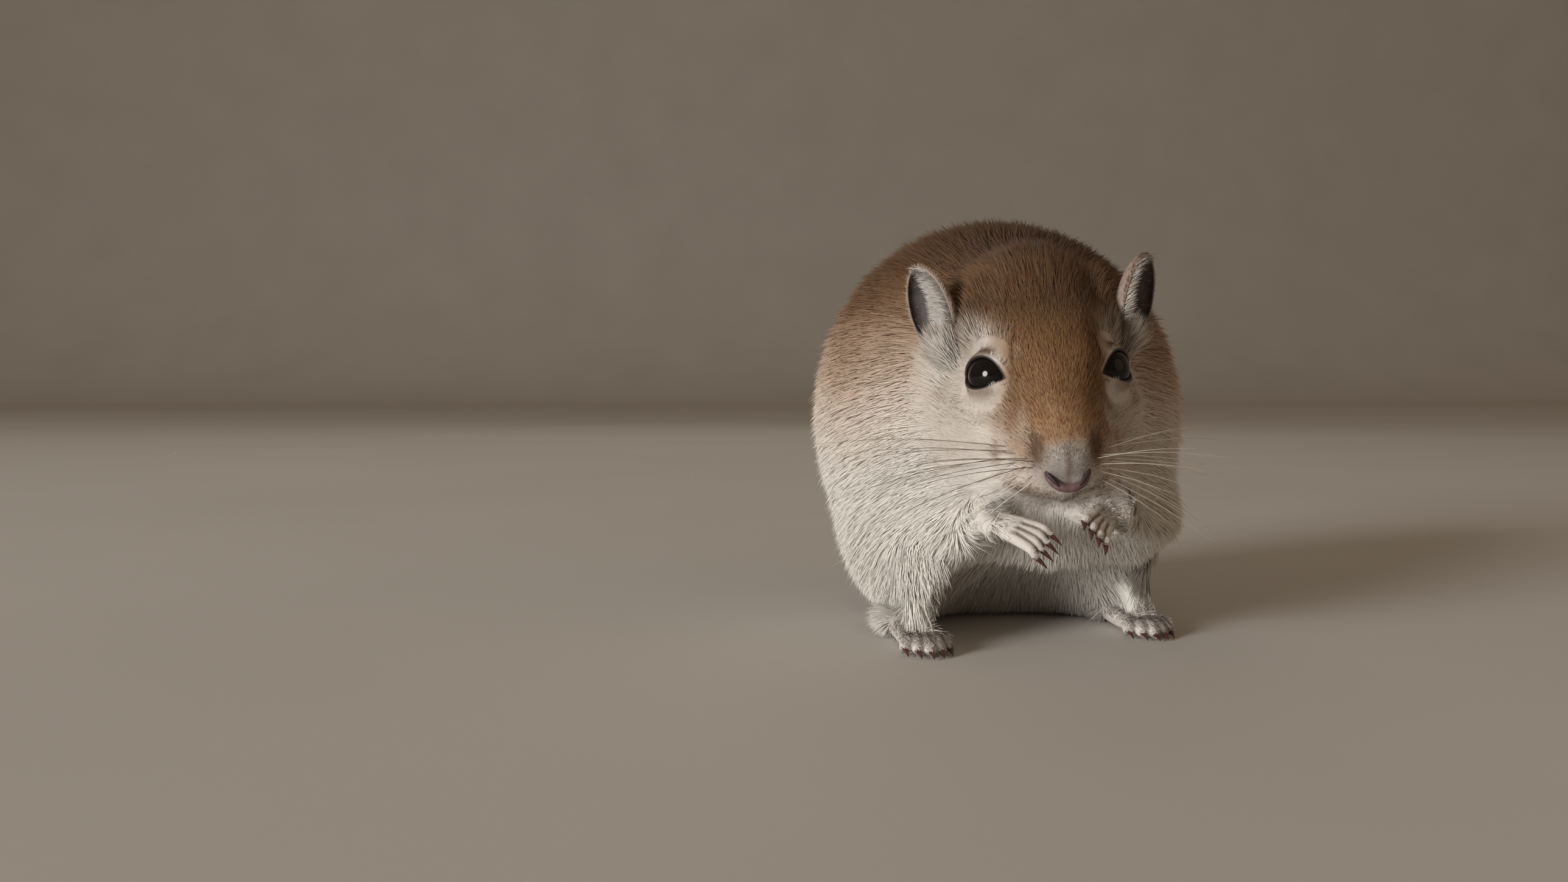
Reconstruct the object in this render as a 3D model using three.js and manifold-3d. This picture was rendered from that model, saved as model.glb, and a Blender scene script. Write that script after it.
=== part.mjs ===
// A plump pet gerbil that sits hunched on its haunches and holds its forepaws together under its chin.
// Millimetres, +Z up, +Y towards the tail, +X to the animal's left.
// The part's origin is the middle of the flat on which the rump rests. Places in this file are told
// from a spot on the floor SEAT_BACK further forward, and each piece moves forward by that in the end.
import * as THREE from "three";
import { mergeVertices } from "three/addons/utils/BufferGeometryUtils.js";
import Module from "manifold-3d";

const wasm = await Module();
wasm.setup();

// Gap that neighbouring pieces keep
const GAP = 0.3;

// How far behind this file's own zero the middle of the seat lies
const SEAT_BACK = 14;

// Driving sizes of the body, to the tips of the coat
const BODY_HALF_WIDTH = 33;
const BODY_TOP = 68;
const RUMP_END = 38.5;
const CHEST_FRONT = -28.5;
const BARREL_HEIGHT = 32;
const HAUNCH_SIDE = 17.6;

// Driving sizes of the head, which is bent down and turned a little to the animal's right
const EYE_MIDDLE = [-2.8, -26, 40.5];
const HEAD_PITCH = 34;
const HEAD_ROLL = 3;
const HEAD_YAW = 9;
const EYE_RADIUS = 3.8;
const EYE_SIDE = 7.8;
const LID_THICKNESS = 0.5;
const EYE_OPENING = [9, 5.8];
const LID_POINTS = 20;
const EAR_LENGTH = 15.5;
const EAR_WIDTH = 8.6;

// Driving sizes of the limbs and the tail
const WRIST_RADIUS = 1.85;
const FINGER_RADIUS = 0.56;
const CLAW_LENGTH = 2.1;
const FOOT_LENGTH = 29;
const FOOT_WIDTH = 6.6;
const TOE_RADIUS = 0.95;
const TAIL_RADIUS = 2.5;
const BRUSH_LOCKS = 32;

const SIDES = { right: -1, left: 1 };
const RADIANS = Math.PI / 180;
const FAR = 400;

const point = (x, y, z) => new THREE.Vector3(x, y, z);

// A closed geometry as a solid, with its shared vertices merged
function solidOf(geometry) {
  const bare = new THREE.BufferGeometry();
  bare.setAttribute("position", geometry.getAttribute("position"));
  bare.setIndex(geometry.index);
  const merged = mergeVertices(bare, 1e-4);
  return new wasm.Manifold(
    new wasm.Mesh({
      numProp: 3,
      vertProperties: merged.attributes.position.array,
      triVerts: new Uint32Array(merged.index.array),
    }),
  );
}

// Rings of points that run along a form, with a closing point before the first ring and after the last
function ringsToGeometry(rings, first, last) {
  const round = rings[0].length;
  const flat = [first, ...rings.flat(), last];
  const at = (ring, i) => 1 + ring * round + (i % round);
  const end = flat.length - 1;
  const faces = [];
  for (let i = 0; i < round; i++) {
    faces.push(0, at(0, i + 1), at(0, i));
    faces.push(end, at(rings.length - 1, i), at(rings.length - 1, i + 1));
  }
  for (let ring = 0; ring + 1 < rings.length; ring++) {
    for (let i = 0; i < round; i++) {
      faces.push(at(ring, i), at(ring, i + 1), at(ring + 1, i + 1));
      faces.push(at(ring, i), at(ring + 1, i + 1), at(ring + 1, i));
    }
  }
  return new THREE.BufferGeometry().setFromPoints(flat).setIndex(faces);
}

// The largest closed surface of a solid
function largest(solid) {
  const bodies = solid.decompose();
  bodies.sort((a, b) => b.volume() - a.volume());
  return bodies[0];
}

const join = (solids) => solids.reduce((all, next) => all.add(next));

// An ellipsoid as a solid, turned by Euler angles in degrees
function ball(centre, radii, turn = [0, 0, 0], detail = [28, 18]) {
  const geometry = new THREE.SphereGeometry(1, detail[0], detail[1]);
  const angles = turn.map((degrees) => degrees * RADIANS);
  const quaternion = new THREE.Quaternion().setFromEuler(new THREE.Euler(...angles, "ZYX"));
  geometry.applyMatrix4(new THREE.Matrix4().compose(centre, quaternion, point(...radii)));
  return solidOf(geometry);
}

// All the space on the side of a plane that its normal points to
function beyond(onPlane, normal) {
  const direction = normal.clone().normalize();
  const box = new THREE.BoxGeometry(FAR, FAR, FAR);
  const quaternion = new THREE.Quaternion().setFromUnitVectors(point(0, 0, 1), direction);
  const centre = onPlane.clone().addScaledVector(direction, FAR / 2);
  box.applyMatrix4(new THREE.Matrix4().compose(centre, quaternion, point(1, 1, 1)));
  return solidOf(box);
}

// How far a place lies outside an ellipsoid, near enough, and below zero inside it
function swelling(centre, radii, turn = [0, 0, 0], pose = new THREE.Matrix4()) {
  const angles = turn.map((degrees) => degrees * RADIANS);
  const quaternion = new THREE.Quaternion().setFromEuler(new THREE.Euler(...angles, "ZYX"));
  const place = new THREE.Matrix4().compose(centre, quaternion, point(1, 1, 1)).premultiply(pose);
  const back = place.invert();
  const local = new THREE.Vector3();
  const [a, b, c] = radii;
  return (p) => {
    local.copy(p).applyMatrix4(back);
    const reach = Math.hypot(local.x / a, local.y / b, local.z / c);
    const slope = Math.hypot(local.x / (a * a), local.y / (b * b), local.z / (c * c));
    return slope < 1e-9 ? -Math.min(a, b, c) : (reach * (reach - 1)) / slope;
  };
}

// Forms that flow into one another, with a fillet of about the size of blend
function melted(forms, blend) {
  return (p) => {
    let distance = forms[0](p);
    for (let i = 1; i < forms.length; i++) {
      const next = forms[i](p);
      const overlap = Math.max(blend - Math.abs(distance - next), 0) / blend;
      distance = Math.min(distance, next) - (overlap * overlap * blend) / 4;
    }
    return distance;
  };
}

// Where a ray from inside a form leaves it, level millimetres outside its skin
function exit(form, origin, direction, level = 0) {
  const at = (distance) => origin.clone().addScaledVector(direction, distance);
  let inside = 0;
  let outside = 1;
  while (form(at(outside)) < level && outside < FAR) {
    inside = outside;
    outside += 1;
  }
  for (let i = 0; i < 22; i++) {
    const middle = (inside + outside) / 2;
    if (form(at(middle)) < level) inside = middle;
    else outside = middle;
  }
  return at(outside);
}

// The skin of a form: rays leave a straight spine sideways and fan out round both its ends
function skinOf(form, from, to, { along, cap, round, level = 0, ease = (t) => t }) {
  const axis = to.clone().sub(from).normalize();
  const side = point(1, 0, 0).addScaledVector(axis, -axis.x).normalize();
  const up = new THREE.Vector3().crossVectors(axis, side);
  const ring = (origin, lean) =>
    Array.from({ length: round }, (_, i) => {
      const angle = (2 * Math.PI * i) / round;
      const direction = side.clone().multiplyScalar(Math.cos(angle));
      direction.addScaledVector(up, Math.sin(angle)).multiplyScalar(Math.cos(lean));
      return exit(form, origin, direction.addScaledVector(axis, Math.sin(lean)), level);
    });
  const rings = [];
  for (let i = 1; i < cap; i++) rings.push(ring(from, (Math.PI / 2) * (i / cap - 1)));
  for (let i = 0; i <= along; i++) rings.push(ring(from.clone().lerp(to, ease(i / along)), 0));
  for (let i = 1; i < cap; i++) rings.push(ring(to, ((Math.PI / 2) * i) / cap));
  const first = exit(form, from, axis.clone().negate(), level);
  const last = exit(form, to, axis, level);
  return solidOf(ringsToGeometry(rings, first, last));
}

// A rod along a smooth curve: size gives its half width and half height at each share of its length
function rod(places, size, { steps = 6, round = 8, up = point(0, 0, 1) } = {}) {
  const curve = new THREE.CatmullRomCurve3(places);
  const rings = [];
  for (let i = 0; i <= steps; i++) {
    const share = i / steps;
    const tangent = curve.getTangent(share);
    const side = new THREE.Vector3().crossVectors(up, tangent).normalize();
    const over = new THREE.Vector3().crossVectors(tangent, side);
    const [halfWidth, halfHeight] = size(share);
    const centre = curve.getPoint(share);
    rings.push(
      Array.from({ length: round }, (_, k) => {
        const angle = (2 * Math.PI * k) / round;
        const spot = centre.clone().addScaledVector(side, halfWidth * Math.cos(angle));
        return spot.addScaledVector(over, halfHeight * Math.sin(angle));
      }),
    );
  }
  const overhang = (share, sign) => {
    const [halfWidth, halfHeight] = size(share);
    const reach = 0.6 * Math.min(halfWidth, halfHeight) * sign;
    return curve.getPoint(share).addScaledVector(curve.getTangent(share), reach);
  };
  return solidOf(ringsToGeometry(rings, overhang(0, -1), overhang(1, 1)));
}

// Steady pseudo-random numbers from 0 to 1
function dice(seed) {
  let state = seed;
  return () => {
    state = (state * 1664525 + 1013904223) % 4294967296;
    return state / 4294967296;
  };
}

// Head: its own frame has its origin between the eyes, -Y to the nose and +Z to the crown
const headTurn = new THREE.Euler(
  HEAD_PITCH * RADIANS,
  -HEAD_ROLL * RADIANS,
  -HEAD_YAW * RADIANS,
  "ZYX",
);
const headPose = new THREE.Matrix4().compose(
  point(...EYE_MIDDLE),
  new THREE.Quaternion().setFromEuler(headTurn),
  point(1, 1, 1),
);

// The same place with the head turned but not bent down, for eyes and ears
const browPose = new THREE.Matrix4().compose(
  point(...EYE_MIDDLE),
  new THREE.Quaternion().setFromEuler(new THREE.Euler(0, headTurn.y, headTurn.z, "ZYX")),
  point(1, 1, 1),
);
const onHead = (x, y, z) => point(x, y, z).applyMatrix4(headPose);
const headSwelling = (x, y, z, radii, turn) => swelling(point(x, y, z), radii, turn, headPose);
const bothSides = (make) => [make(SIDES.right), make(SIDES.left)];

const headForm = melted(
  [
    headSwelling(0, 10.5, 0.6, [12.6, 13.7, 11]),
    headSwelling(0, 17, 0.8, [10.6, 13, 11]),
    headSwelling(0, -2.2, 2, [7.4, 11, 8.2]),
    ...bothSides((s) => headSwelling(7.2 * s, 2.6, -7, [7.4, 10.6, 7.2])),
    headSwelling(0, -8.4, -3.8, [7, 9.6, 6]),
    ...bothSides((s) => headSwelling(4.5 * s, -10, -7.6, [4.3, 6.4, 4.2])),
    headSwelling(0, -16.6, -4.4, [3.1, 2.9, 2.5]),
    headSwelling(0, -8.2, -10.6, [4.4, 8, 3.2]),
    ...bothSides((s) => headSwelling(6.2 * s, 1, 2, [3.8, 5.4, 3.2])),
  ],
  3.4,
);

// Torso, haunches and the roots of the limbs
const HAUNCHES = {
  right: { centre: point(-HAUNCH_SIDE, 1, 16), radii: [11.8, 20.5, 17], turn: [-10, 0, 0] },
  left: { centre: point(HAUNCH_SIDE - 2.6, 3, 19.5), radii: [11.4, 20, 20], turn: [-10, 0, 0] },
};
const torsoForm = melted(
  [
    swelling(point(0, 10, BARREL_HEIGHT + 1), [BODY_HALF_WIDTH - 0.6, 27.6, 30.5]),
    swelling(point(0, 11.5, 42), [28.4, 22.3, BODY_TOP - 42]),
    swelling(point(0, -12, 25.5), [21.5, -12 - CHEST_FRONT, 16.5]),
    swelling(point(0, 16, 20), [23, RUMP_END - 16, 22]),
    ...Object.values(HAUNCHES).map(({ centre, radii, turn }) => swelling(centre, radii, turn)),
    ...bothSides((s) => swelling(point(14 * s, -19, 19), [8.5, 9, 7.5])),
  ],
  6,
);
const underFloor = beyond(point(0, 0, 0), point(0, 0, -1));

const headSpine = [onHead(0, 10, 0), onHead(0, -12, -5)];
const headDetail = { along: 13, cap: 8, round: 36 };
const wholeHead = skinOf(headForm, ...headSpine, headDetail);
const headGrown = skinOf(headForm, ...headSpine, { along: 9, cap: 6, round: 26, level: 1.7 * GAP });

const torsoSpine = [point(0, -5, 31), point(0, 12, 31)];
const torsoDetail = { along: 8, cap: 8, round: 34 };
const wholeTorso = skinOf(torsoForm, ...torsoSpine, torsoDetail).subtract(underFloor);
const torsoGrown = skinOf(torsoForm, ...torsoSpine, { ...torsoDetail, level: GAP });
const bodyGrown = torsoGrown.add(headGrown);

function haunchCutter(side, grow) {
  const { centre, radii, turn } = HAUNCHES[side];
  const grown = radii.map((radius) => radius + 0.8 + grow);
  return ball(centre, grown, turn, [20, 12]);
}
const haunch = (side) => wholeTorso.intersect(haunchCutter(side, 0)).subtract(headGrown);

function torso() {
  let solid = wholeTorso.subtract(headGrown);
  for (const side of Object.keys(SIDES)) solid = solid.subtract(haunchCutter(side, GAP));
  return solid;
}

// Eye: a ball in a socket, under lids with an almond opening
const eyeCentre = (s) => onHead(EYE_SIDE * s, 0, 0);
const eyeOutward = (s) => point(0.7 * s, -0.7, 0.14).transformDirection(browPose);

// The edge of the lids, as points on a sphere round the eye, times a share of its radius
function lidEdge(s, radius) {
  const [length, height] = EYE_OPENING;
  const almond = new THREE.Shape();
  const front = -length / 2;
  almond.moveTo(front, -0.2);
  almond.bezierCurveTo(-length * 0.3, height * 0.4, length * 0.22, height * 0.56, length / 2, 0.6);
  almond.bezierCurveTo(length * 0.4, -height * 0.62, -length * 0.16, -height * 0.85, front, -0.2);
  const out = eyeOutward(s);
  const rear = point(0.65 * s, 0.7, 0.3).transformDirection(browPose);
  rear.addScaledVector(out, -rear.dot(out)).normalize();
  const up = new THREE.Vector3().crossVectors(rear, out).multiplyScalar(s);
  const edge = almond.getSpacedPoints(LID_POINTS).slice(0, LID_POINTS);
  const points = edge.map(({ x, y }) => {
    const angle = Math.hypot(x, y) / (EYE_RADIUS + GAP);
    const sideways = rear.clone().multiplyScalar(x).addScaledVector(up, y).normalize();
    const direction = out.clone().multiplyScalar(Math.cos(angle));
    direction.addScaledVector(sideways, Math.sin(angle));
    return direction.multiplyScalar(radius).add(eyeCentre(s));
  });
  return s > 0 ? points : points.reverse();
}

// A cone from the middle of the eye through the edge of the lids
function eyeOpening(s) {
  const rings = [0.3, 1, 2.2].map((share) => lidEdge(s, share * (EYE_RADIUS + GAP)));
  const last = eyeCentre(s).addScaledVector(eyeOutward(s), 2.6 * EYE_RADIUS);
  return solidOf(ringsToGeometry(rings, eyeCentre(s), last));
}

// The thick rim of the lids, a closed tube along their edge
function lidRim(s) {
  const middle = EYE_RADIUS + GAP + LID_THICKNESS * 0.5;
  const curve = new THREE.CatmullRomCurve3(lidEdge(s, middle), true, "catmullrom", 0.3);
  return solidOf(new THREE.TubeGeometry(curve, 26, LID_THICKNESS * 0.75, 5, true));
}

const sphere = (centre, radius, detail) => ball(centre, [radius, radius, radius], [0, 0, 0], detail);
const eyeBall = (s) => sphere(eyeCentre(s), EYE_RADIUS, [16, 11]);

// The place where the skin of the head lies, on a ray from one place inside it to another
const onSkin = (inside, towards) =>
  exit(headForm, onHead(...inside), onHead(...towards).sub(onHead(...inside)).normalize());

function mouth() {
  const inside = [0, -9, -7.6];
  const corners = bothSides((s) => [
    onSkin(inside, [5.4 * s, -6.2, -12.2]),
    onSkin(inside, [4.6 * s, -10.5, -13]),
    onSkin(inside, [2.6 * s, -15, -13.4]),
  ]);
  const middle = onSkin(inside, [0, -17, -13]);
  const line = [...corners[0], middle, ...corners[1].reverse()];
  const crown = point(0, 0, 1).transformDirection(headPose);
  const lips = rod(line, () => [0.4, 0.4], { steps: 14, round: 5, up: crown });
  const cleft = [onSkin(inside, [0, -19, -7]), onSkin(inside, [0, -18.4, -9.8]), middle];
  const side = point(1, 0, 0).transformDirection(headPose);
  return lips.add(rod(cleft, () => [0.3, 0.3], { steps: 5, round: 6, up: side }));
}

function nostril(s) {
  const places = [
    onHead(3.4 * s, -16.6, -3.2),
    onHead(2.6 * s, -18.6, -4.3),
    onHead(1.4 * s, -19.6, -5.4),
  ];
  const side = point(1, 0, 0).transformDirection(headPose);
  const size = (t) => [0.3 + 0.2 * t, 0.4 + 0.25 * t];
  return rod(places, size, { steps: 5, round: 7, up: side });
}

function head() {
  let solid = wholeHead.subtract(mouth());
  for (const s of Object.values(SIDES)) {
    solid = solid.add(sphere(eyeCentre(s), EYE_RADIUS + GAP + LID_THICKNESS, [20, 12]));
    solid = solid.subtract(eyeOpening(s)).add(lidRim(s));
    solid = solid.subtract(sphere(eyeCentre(s), EYE_RADIUS + GAP, [18, 12]));
    solid = solid.subtract(nostril(s));
  }
  return solid;
}

// Ear: a long cup that opens forwards and outwards, with its lower half against the head
const earRoot = (s) => point(13.2 * s, 9.4, 2.6).applyMatrix4(browPose);
const earTip = (s) => point(17.6 * s, 11, 17.9).applyMatrix4(browPose);
const earAxes = (s) => {
  const long = earTip(s).sub(earRoot(s)).normalize();
  const open = point(0.76 * s, -0.65, 0).transformDirection(browPose);
  open.addScaledVector(long, -open.dot(long)).normalize();
  return { long, open, wide: new THREE.Vector3().crossVectors(long, open) };
};

function earForm(s, halfLength, halfWidth, halfDepth, rise, forwardBy) {
  const { long, open, wide } = earAxes(s);
  const geometry = new THREE.SphereGeometry(1, 14, 10);
  const places = geometry.getAttribute("position");
  for (let i = 0; i < places.count; i++) {
    const t = places.getY(i);
    const taper = t > 0 ? 1 : 1 - 0.3 * t * t;
    places.setX(i, places.getX(i) * halfWidth * taper);
    places.setZ(i, places.getZ(i) * halfDepth * taper);
    places.setY(i, t * halfLength);
  }
  const middle = earRoot(s).addScaledVector(long, rise).addScaledVector(open, forwardBy);
  geometry.applyMatrix4(new THREE.Matrix4().makeBasis(wide, long, open).setPosition(middle));
  return solidOf(geometry);
}

function earShape(s) {
  const half = EAR_LENGTH / 2;
  const outer = earForm(s, half, EAR_WIDTH / 2, 3.6, half, 0);
  const inner = earForm(s, half - 1, EAR_WIDTH / 2 - 0.75, 3.8, half, 1.1);
  const brim = earRoot(s).addScaledVector(earAxes(s).open, 0.8);
  return outer.subtract(inner).subtract(beyond(brim, earAxes(s).open));
}

const ear = (s) => earShape(s).subtract(bodyGrown);

// Forelimb: a furred forearm that leaves the chest, a wrist and a hand with four long claws
const elbow = (s) => point(15 * s, -24, 18);
const wrist = { right: point(-11, -32.5, 19.2), left: point(2.4, -34.6, 20.4) };
const knuckles = { right: point(-7.6, -35, 17.6), left: point(-0.2, -37.6, 19) };
const clawTips = { right: point(-5, -36.4, 15.3), left: point(-0.7, -40.4, 17.9) };

function forearm(side) {
  const s = SIDES[side];
  const middle = elbow(s).lerp(wrist[side], 0.55).add(point(0, -0.6, -0.4));
  const size = (t) => [4.8 - (4.8 - WRIST_RADIUS - 0.3) * t, 4.6 - (4.6 - WRIST_RADIUS) * t];
  const solid = rod([elbow(s), middle, wrist[side]], size, { steps: 6, round: 12 });
  return solid.subtract(bodyGrown).subtract(handCutter(side));
}

const reach = (side) => knuckles[side].clone().sub(wrist[side]).normalize();
const handCutter = (side) => {
  const onWrist = wrist[side].clone().addScaledVector(reach(side), -1.2);
  return beyond(onWrist, reach(side));
};

function hand(side) {
  const along = reach(side);
  const tipsFrom = clawTips[side].clone().sub(knuckles[side]);
  const back = side === "right" ? point(-0.25, -0.75, 0.6) : point(0.1, -0.93, 0.35);
  back.addScaledVector(along, -back.dot(along)).normalize();
  const across = new THREE.Vector3().crossVectors(along, back);
  const palm = [
    wrist[side].clone().addScaledVector(along, -1.6),
    wrist[side],
    knuckles[side],
    knuckles[side].clone().addScaledVector(along, 0.5),
  ];
  const palmSize = (t) => [WRIST_RADIUS + 0.35 * t, WRIST_RADIUS - 0.5 * t];
  const pieces = [rod(palm, palmSize, { steps: 5, round: 12, up: back })];
  const fingers = 4;
  for (let i = 0; i < fingers; i++) {
    const spread = (i - (fingers - 1) / 2) * 1.2;
    const shorter = 0.9 - 0.12 * Math.abs(i - 1.4);
    const root = knuckles[side].clone().addScaledVector(along, -1);
    root.addScaledVector(across, spread * 0.9);
    const end = knuckles[side].clone().addScaledVector(across, spread * 1.15);
    end.addScaledVector(tipsFrom, 0.52 * shorter);
    const bend = root.clone().lerp(end, 0.55).addScaledVector(back, 0.55);
    const fingerSize = () => [FINGER_RADIUS, FINGER_RADIUS];
    pieces.push(rod([root, bend, end], fingerSize, { steps: 3, round: 6, up: back }));
    const claw = end.clone().addScaledVector(tipsFrom.clone().normalize(), CLAW_LENGTH);
    claw.addScaledVector(back, -0.5);
    const crook = end.clone().lerp(claw, 0.5).addScaledVector(back, 0.35);
    const inEnd = end.clone().lerp(bend, 0.25);
    const clawSize = (t) => [0.42 * (1.04 - t), 0.5 * (1.04 - t)];
    pieces.push(rod([inEnd, crook, claw], clawSize, { steps: 3, round: 6, up: back }));
  }
  const solid = join(pieces).subtract(bodyGrown);
  const wristPlane = wrist[side].clone().addScaledVector(along, -1.2 + GAP);
  return solid.subtract(beyond(wristPlane, along.clone().negate()));
}

// Hind leg: a furred shin in front of the haunch, and a long flat foot with five toes
const TOES = { right: point(-20.6, -23, 0), left: point(16.5, -14, 0) };
const SHIN_FOOT = 5;

function shin(side) {
  const { x, y } = TOES[side];
  const places = [point(x, y + 10, 19), point(x, y + 5, 12), point(x, y + 2.5, SHIN_FOOT - 1)];
  const size = (t) => [6 - 1.9 * t, 5.4 - 1.4 * t];
  const solid = rod(places, size, { steps: 6, round: 12, up: point(0, -1, 0) });
  return solid
    .subtract(bodyGrown)
    .subtract(haunchCutter(side, GAP))
    .subtract(beyond(point(0, 0, SHIN_FOOT), point(0, 0, -1)));
}

function foot(side) {
  const s = SIDES[side];
  const { x, y } = TOES[side];
  const heel = y + FOOT_LENGTH * 0.72;
  const places = [
    point(x + 0.6 * s, heel, 2.3),
    point(x + 0.3 * s, heel - 8, 2.3),
    point(x, y + 4, 2.1),
    point(x, y, 1.5),
  ];
  const size = (t) => [2.6 + (FOOT_WIDTH / 2 - 2.6) * t, 2.9 - 1.1 * t * t];
  const pieces = [rod(places, size, { steps: 6, round: 10 })];
  const toes = 5;
  for (let i = 0; i < toes; i++) {
    const fan = i - (toes - 1) / 2;
    const length = 5.6 - 0.75 * Math.abs(fan) ** 1.6;
    const root = point(x + 1.25 * fan, y + 0.6, 1.5);
    const end = point(x + 1.62 * fan, y - length, TOE_RADIUS);
    const bend = root.clone().lerp(end, 0.5).add(point(0, 0, 0.9));
    const toeSize = (t) => [TOE_RADIUS, TOE_RADIUS - 0.1 * t];
    pieces.push(rod([root, bend, end], toeSize, { steps: 3, round: 6 }));
    const claw = end.clone().add(point(0.12 * fan, -CLAW_LENGTH * 0.85, -0.35));
    const inEnd = end.clone().lerp(bend, 0.2);
    const crook = end.clone().lerp(claw, 0.5).add(point(0, 0, 0.4));
    const clawSize = (t) => [0.5 * (1.05 - t), 0.6 * (1.05 - t)];
    pieces.push(rod([inEnd, crook, claw], clawSize, { steps: 3, round: 6 }));
  }
  return join(pieces)
    .subtract(bodyGrown)
    .subtract(haunchCutter(side, GAP))
    .subtract(beyond(point(0, 0, SHIN_FOOT - GAP), point(0, 0, 1)))
    .subtract(underFloor);
}

// Tail: three lengths that lie on the floor behind the rump, the last with a brush of longer hair
const tailPath = new THREE.CatmullRomCurve3([
  point(0, RUMP_END - 5, 7),
  point(0.5, RUMP_END + 2, 4),
  point(3, RUMP_END + 14, TAIL_RADIUS - 0.25),
  point(9, RUMP_END + 34, TAIL_RADIUS - 0.35),
  point(13, RUMP_END + 54, TAIL_RADIUS - 0.45),
  point(11, RUMP_END + 74, TAIL_RADIUS - 0.4),
  point(5, RUMP_END + 90, TAIL_RADIUS - 0.2),
]);
const tailSize = (share) => TAIL_RADIUS + 1.1 * Math.exp(-share * 14) - 0.45 * share;
const TAIL_CUTS = [0, 0.36, 0.68, 1];

function tailLength(index) {
  const from = TAIL_CUTS[index];
  const to = TAIL_CUTS[index + 1];
  const stations = 9;
  const shareAt = (t) => from + (to - from) * t;
  const placeAt = (_, i) => tailPath.getPoint(shareAt(i / (stations - 1)));
  const places = Array.from({ length: stations }, placeAt);
  const size = (t) => {
    const radius = tailSize(shareAt(t));
    return [radius, radius];
  };
  return rod(places, size, { steps: 14, round: 10 });
}

function tailCut(index, sign) {
  const share = TAIL_CUTS[index];
  const along = tailPath.getTangent(share).multiplyScalar(sign);
  return beyond(tailPath.getPoint(share).addScaledVector(along, -GAP / 2), along);
}

// A flat tapered lock that leaves the tail and bends back along it
function lock(share, around, length, width) {
  const centre = tailPath.getPoint(share);
  const along = tailPath.getTangent(share);
  const side = new THREE.Vector3().crossVectors(point(0, 0, 1), along).normalize();
  const out = side.multiplyScalar(Math.cos(around)).add(point(0, 0, Math.sin(around)));
  const radius = tailSize(share);
  const root = centre.clone().addScaledVector(out, radius * 0.35);
  const middle = centre.clone().addScaledVector(out, radius * 1.12).addScaledVector(along, length * 0.5);
  const tip = centre.clone().addScaledVector(out, radius * 1.25).addScaledVector(along, length);
  const size = (t) => [width * Math.sqrt(1.03 - t), 0.42 * Math.sqrt(1.03 - t)];
  return rod([root, middle, tip], size, { steps: 2, round: 4, up: out });
}

function tailBrush() {
  const roll = dice(7);
  const pieces = [tailLength(2)];
  for (let i = 0; i < BRUSH_LOCKS; i++) {
    const step = i / BRUSH_LOCKS;
    const share = 0.72 + 0.255 * step + 0.01 * roll();
    const around = (-0.12 + 1.24 * ((i * 0.382) % 1)) * Math.PI;
    pieces.push(lock(share, around, 6 + 3.5 * step + 1.5 * roll(), 0.8 + 0.25 * roll()));
  }
  return join(pieces).subtract(tailCut(2, -1));
}

// Colours of the coat and the bare parts
const BACK_FUR = { color: 0xb98551, roughness: 0.9 };
const FACE_FUR = { color: 0xc8925c, roughness: 0.9 };
const WHITE_FUR = { color: 0xe9e2d6, roughness: 0.9 };
const EAR_SKIN = { color: 0x8f8379, roughness: 0.8 };
const PAW_SKIN = { color: 0xd9c8c4, roughness: 0.7 };
const EYE_GLOSS = { color: 0x070606, roughness: 0.05 };
const BRUSH_FUR = { color: 0x5a4030, roughness: 0.9 };

const gerbil = new THREE.Group();

function addPart(name, solid, look) {
  const mesh = largest(solid).getMesh();
  const geometry = new THREE.BufferGeometry();
  geometry.setAttribute("position", new THREE.BufferAttribute(mesh.vertProperties, mesh.numProp));
  geometry.setIndex(new THREE.BufferAttribute(mesh.triVerts, 1));
  geometry.translate(0, -SEAT_BACK, 0);
  geometry.computeVertexNormals();
  const piece = new THREE.Mesh(geometry, new THREE.MeshStandardMaterial({ ...look, metalness: 0 }));
  piece.name = name;
  gerbil.add(piece);
}

addPart("torso", torso(), BACK_FUR);
addPart("head", head(), FACE_FUR);
for (const [side, s] of Object.entries(SIDES)) {
  addPart("eye_" + side, eyeBall(s), EYE_GLOSS);
  addPart("ear_" + side, ear(s), EAR_SKIN);
  addPart("forearm_" + side, forearm(side), WHITE_FUR);
  addPart("hand_" + side, hand(side), PAW_SKIN);
  addPart("haunch_" + side, haunch(side), WHITE_FUR);
  addPart("shin_" + side, shin(side), WHITE_FUR);
  addPart("hind_foot_" + side, foot(side), PAW_SKIN);
}
const tailRoot = tailLength(0).subtract(bodyGrown).subtract(tailCut(1, 1)).subtract(underFloor);
const tailMiddle = tailLength(1).subtract(tailCut(1, -1)).subtract(tailCut(2, 1)).subtract(underFloor);
addPart("tail_root", tailRoot, BACK_FUR);
addPart("tail_middle", tailMiddle, BACK_FUR);
addPart("tail_brush", tailBrush().subtract(underFloor), BRUSH_FUR);

export default gerbil;
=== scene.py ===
# A plump pet gerbil that sits hunched and holds its forepaws under its chin, dressed round its solids.
# Lengths in this file are millimetres in the frame of the part, and become metres where a mesh is made.
import math

import bpy
import numpy as np
from mathutils import Euler, Matrix, Vector


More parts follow.
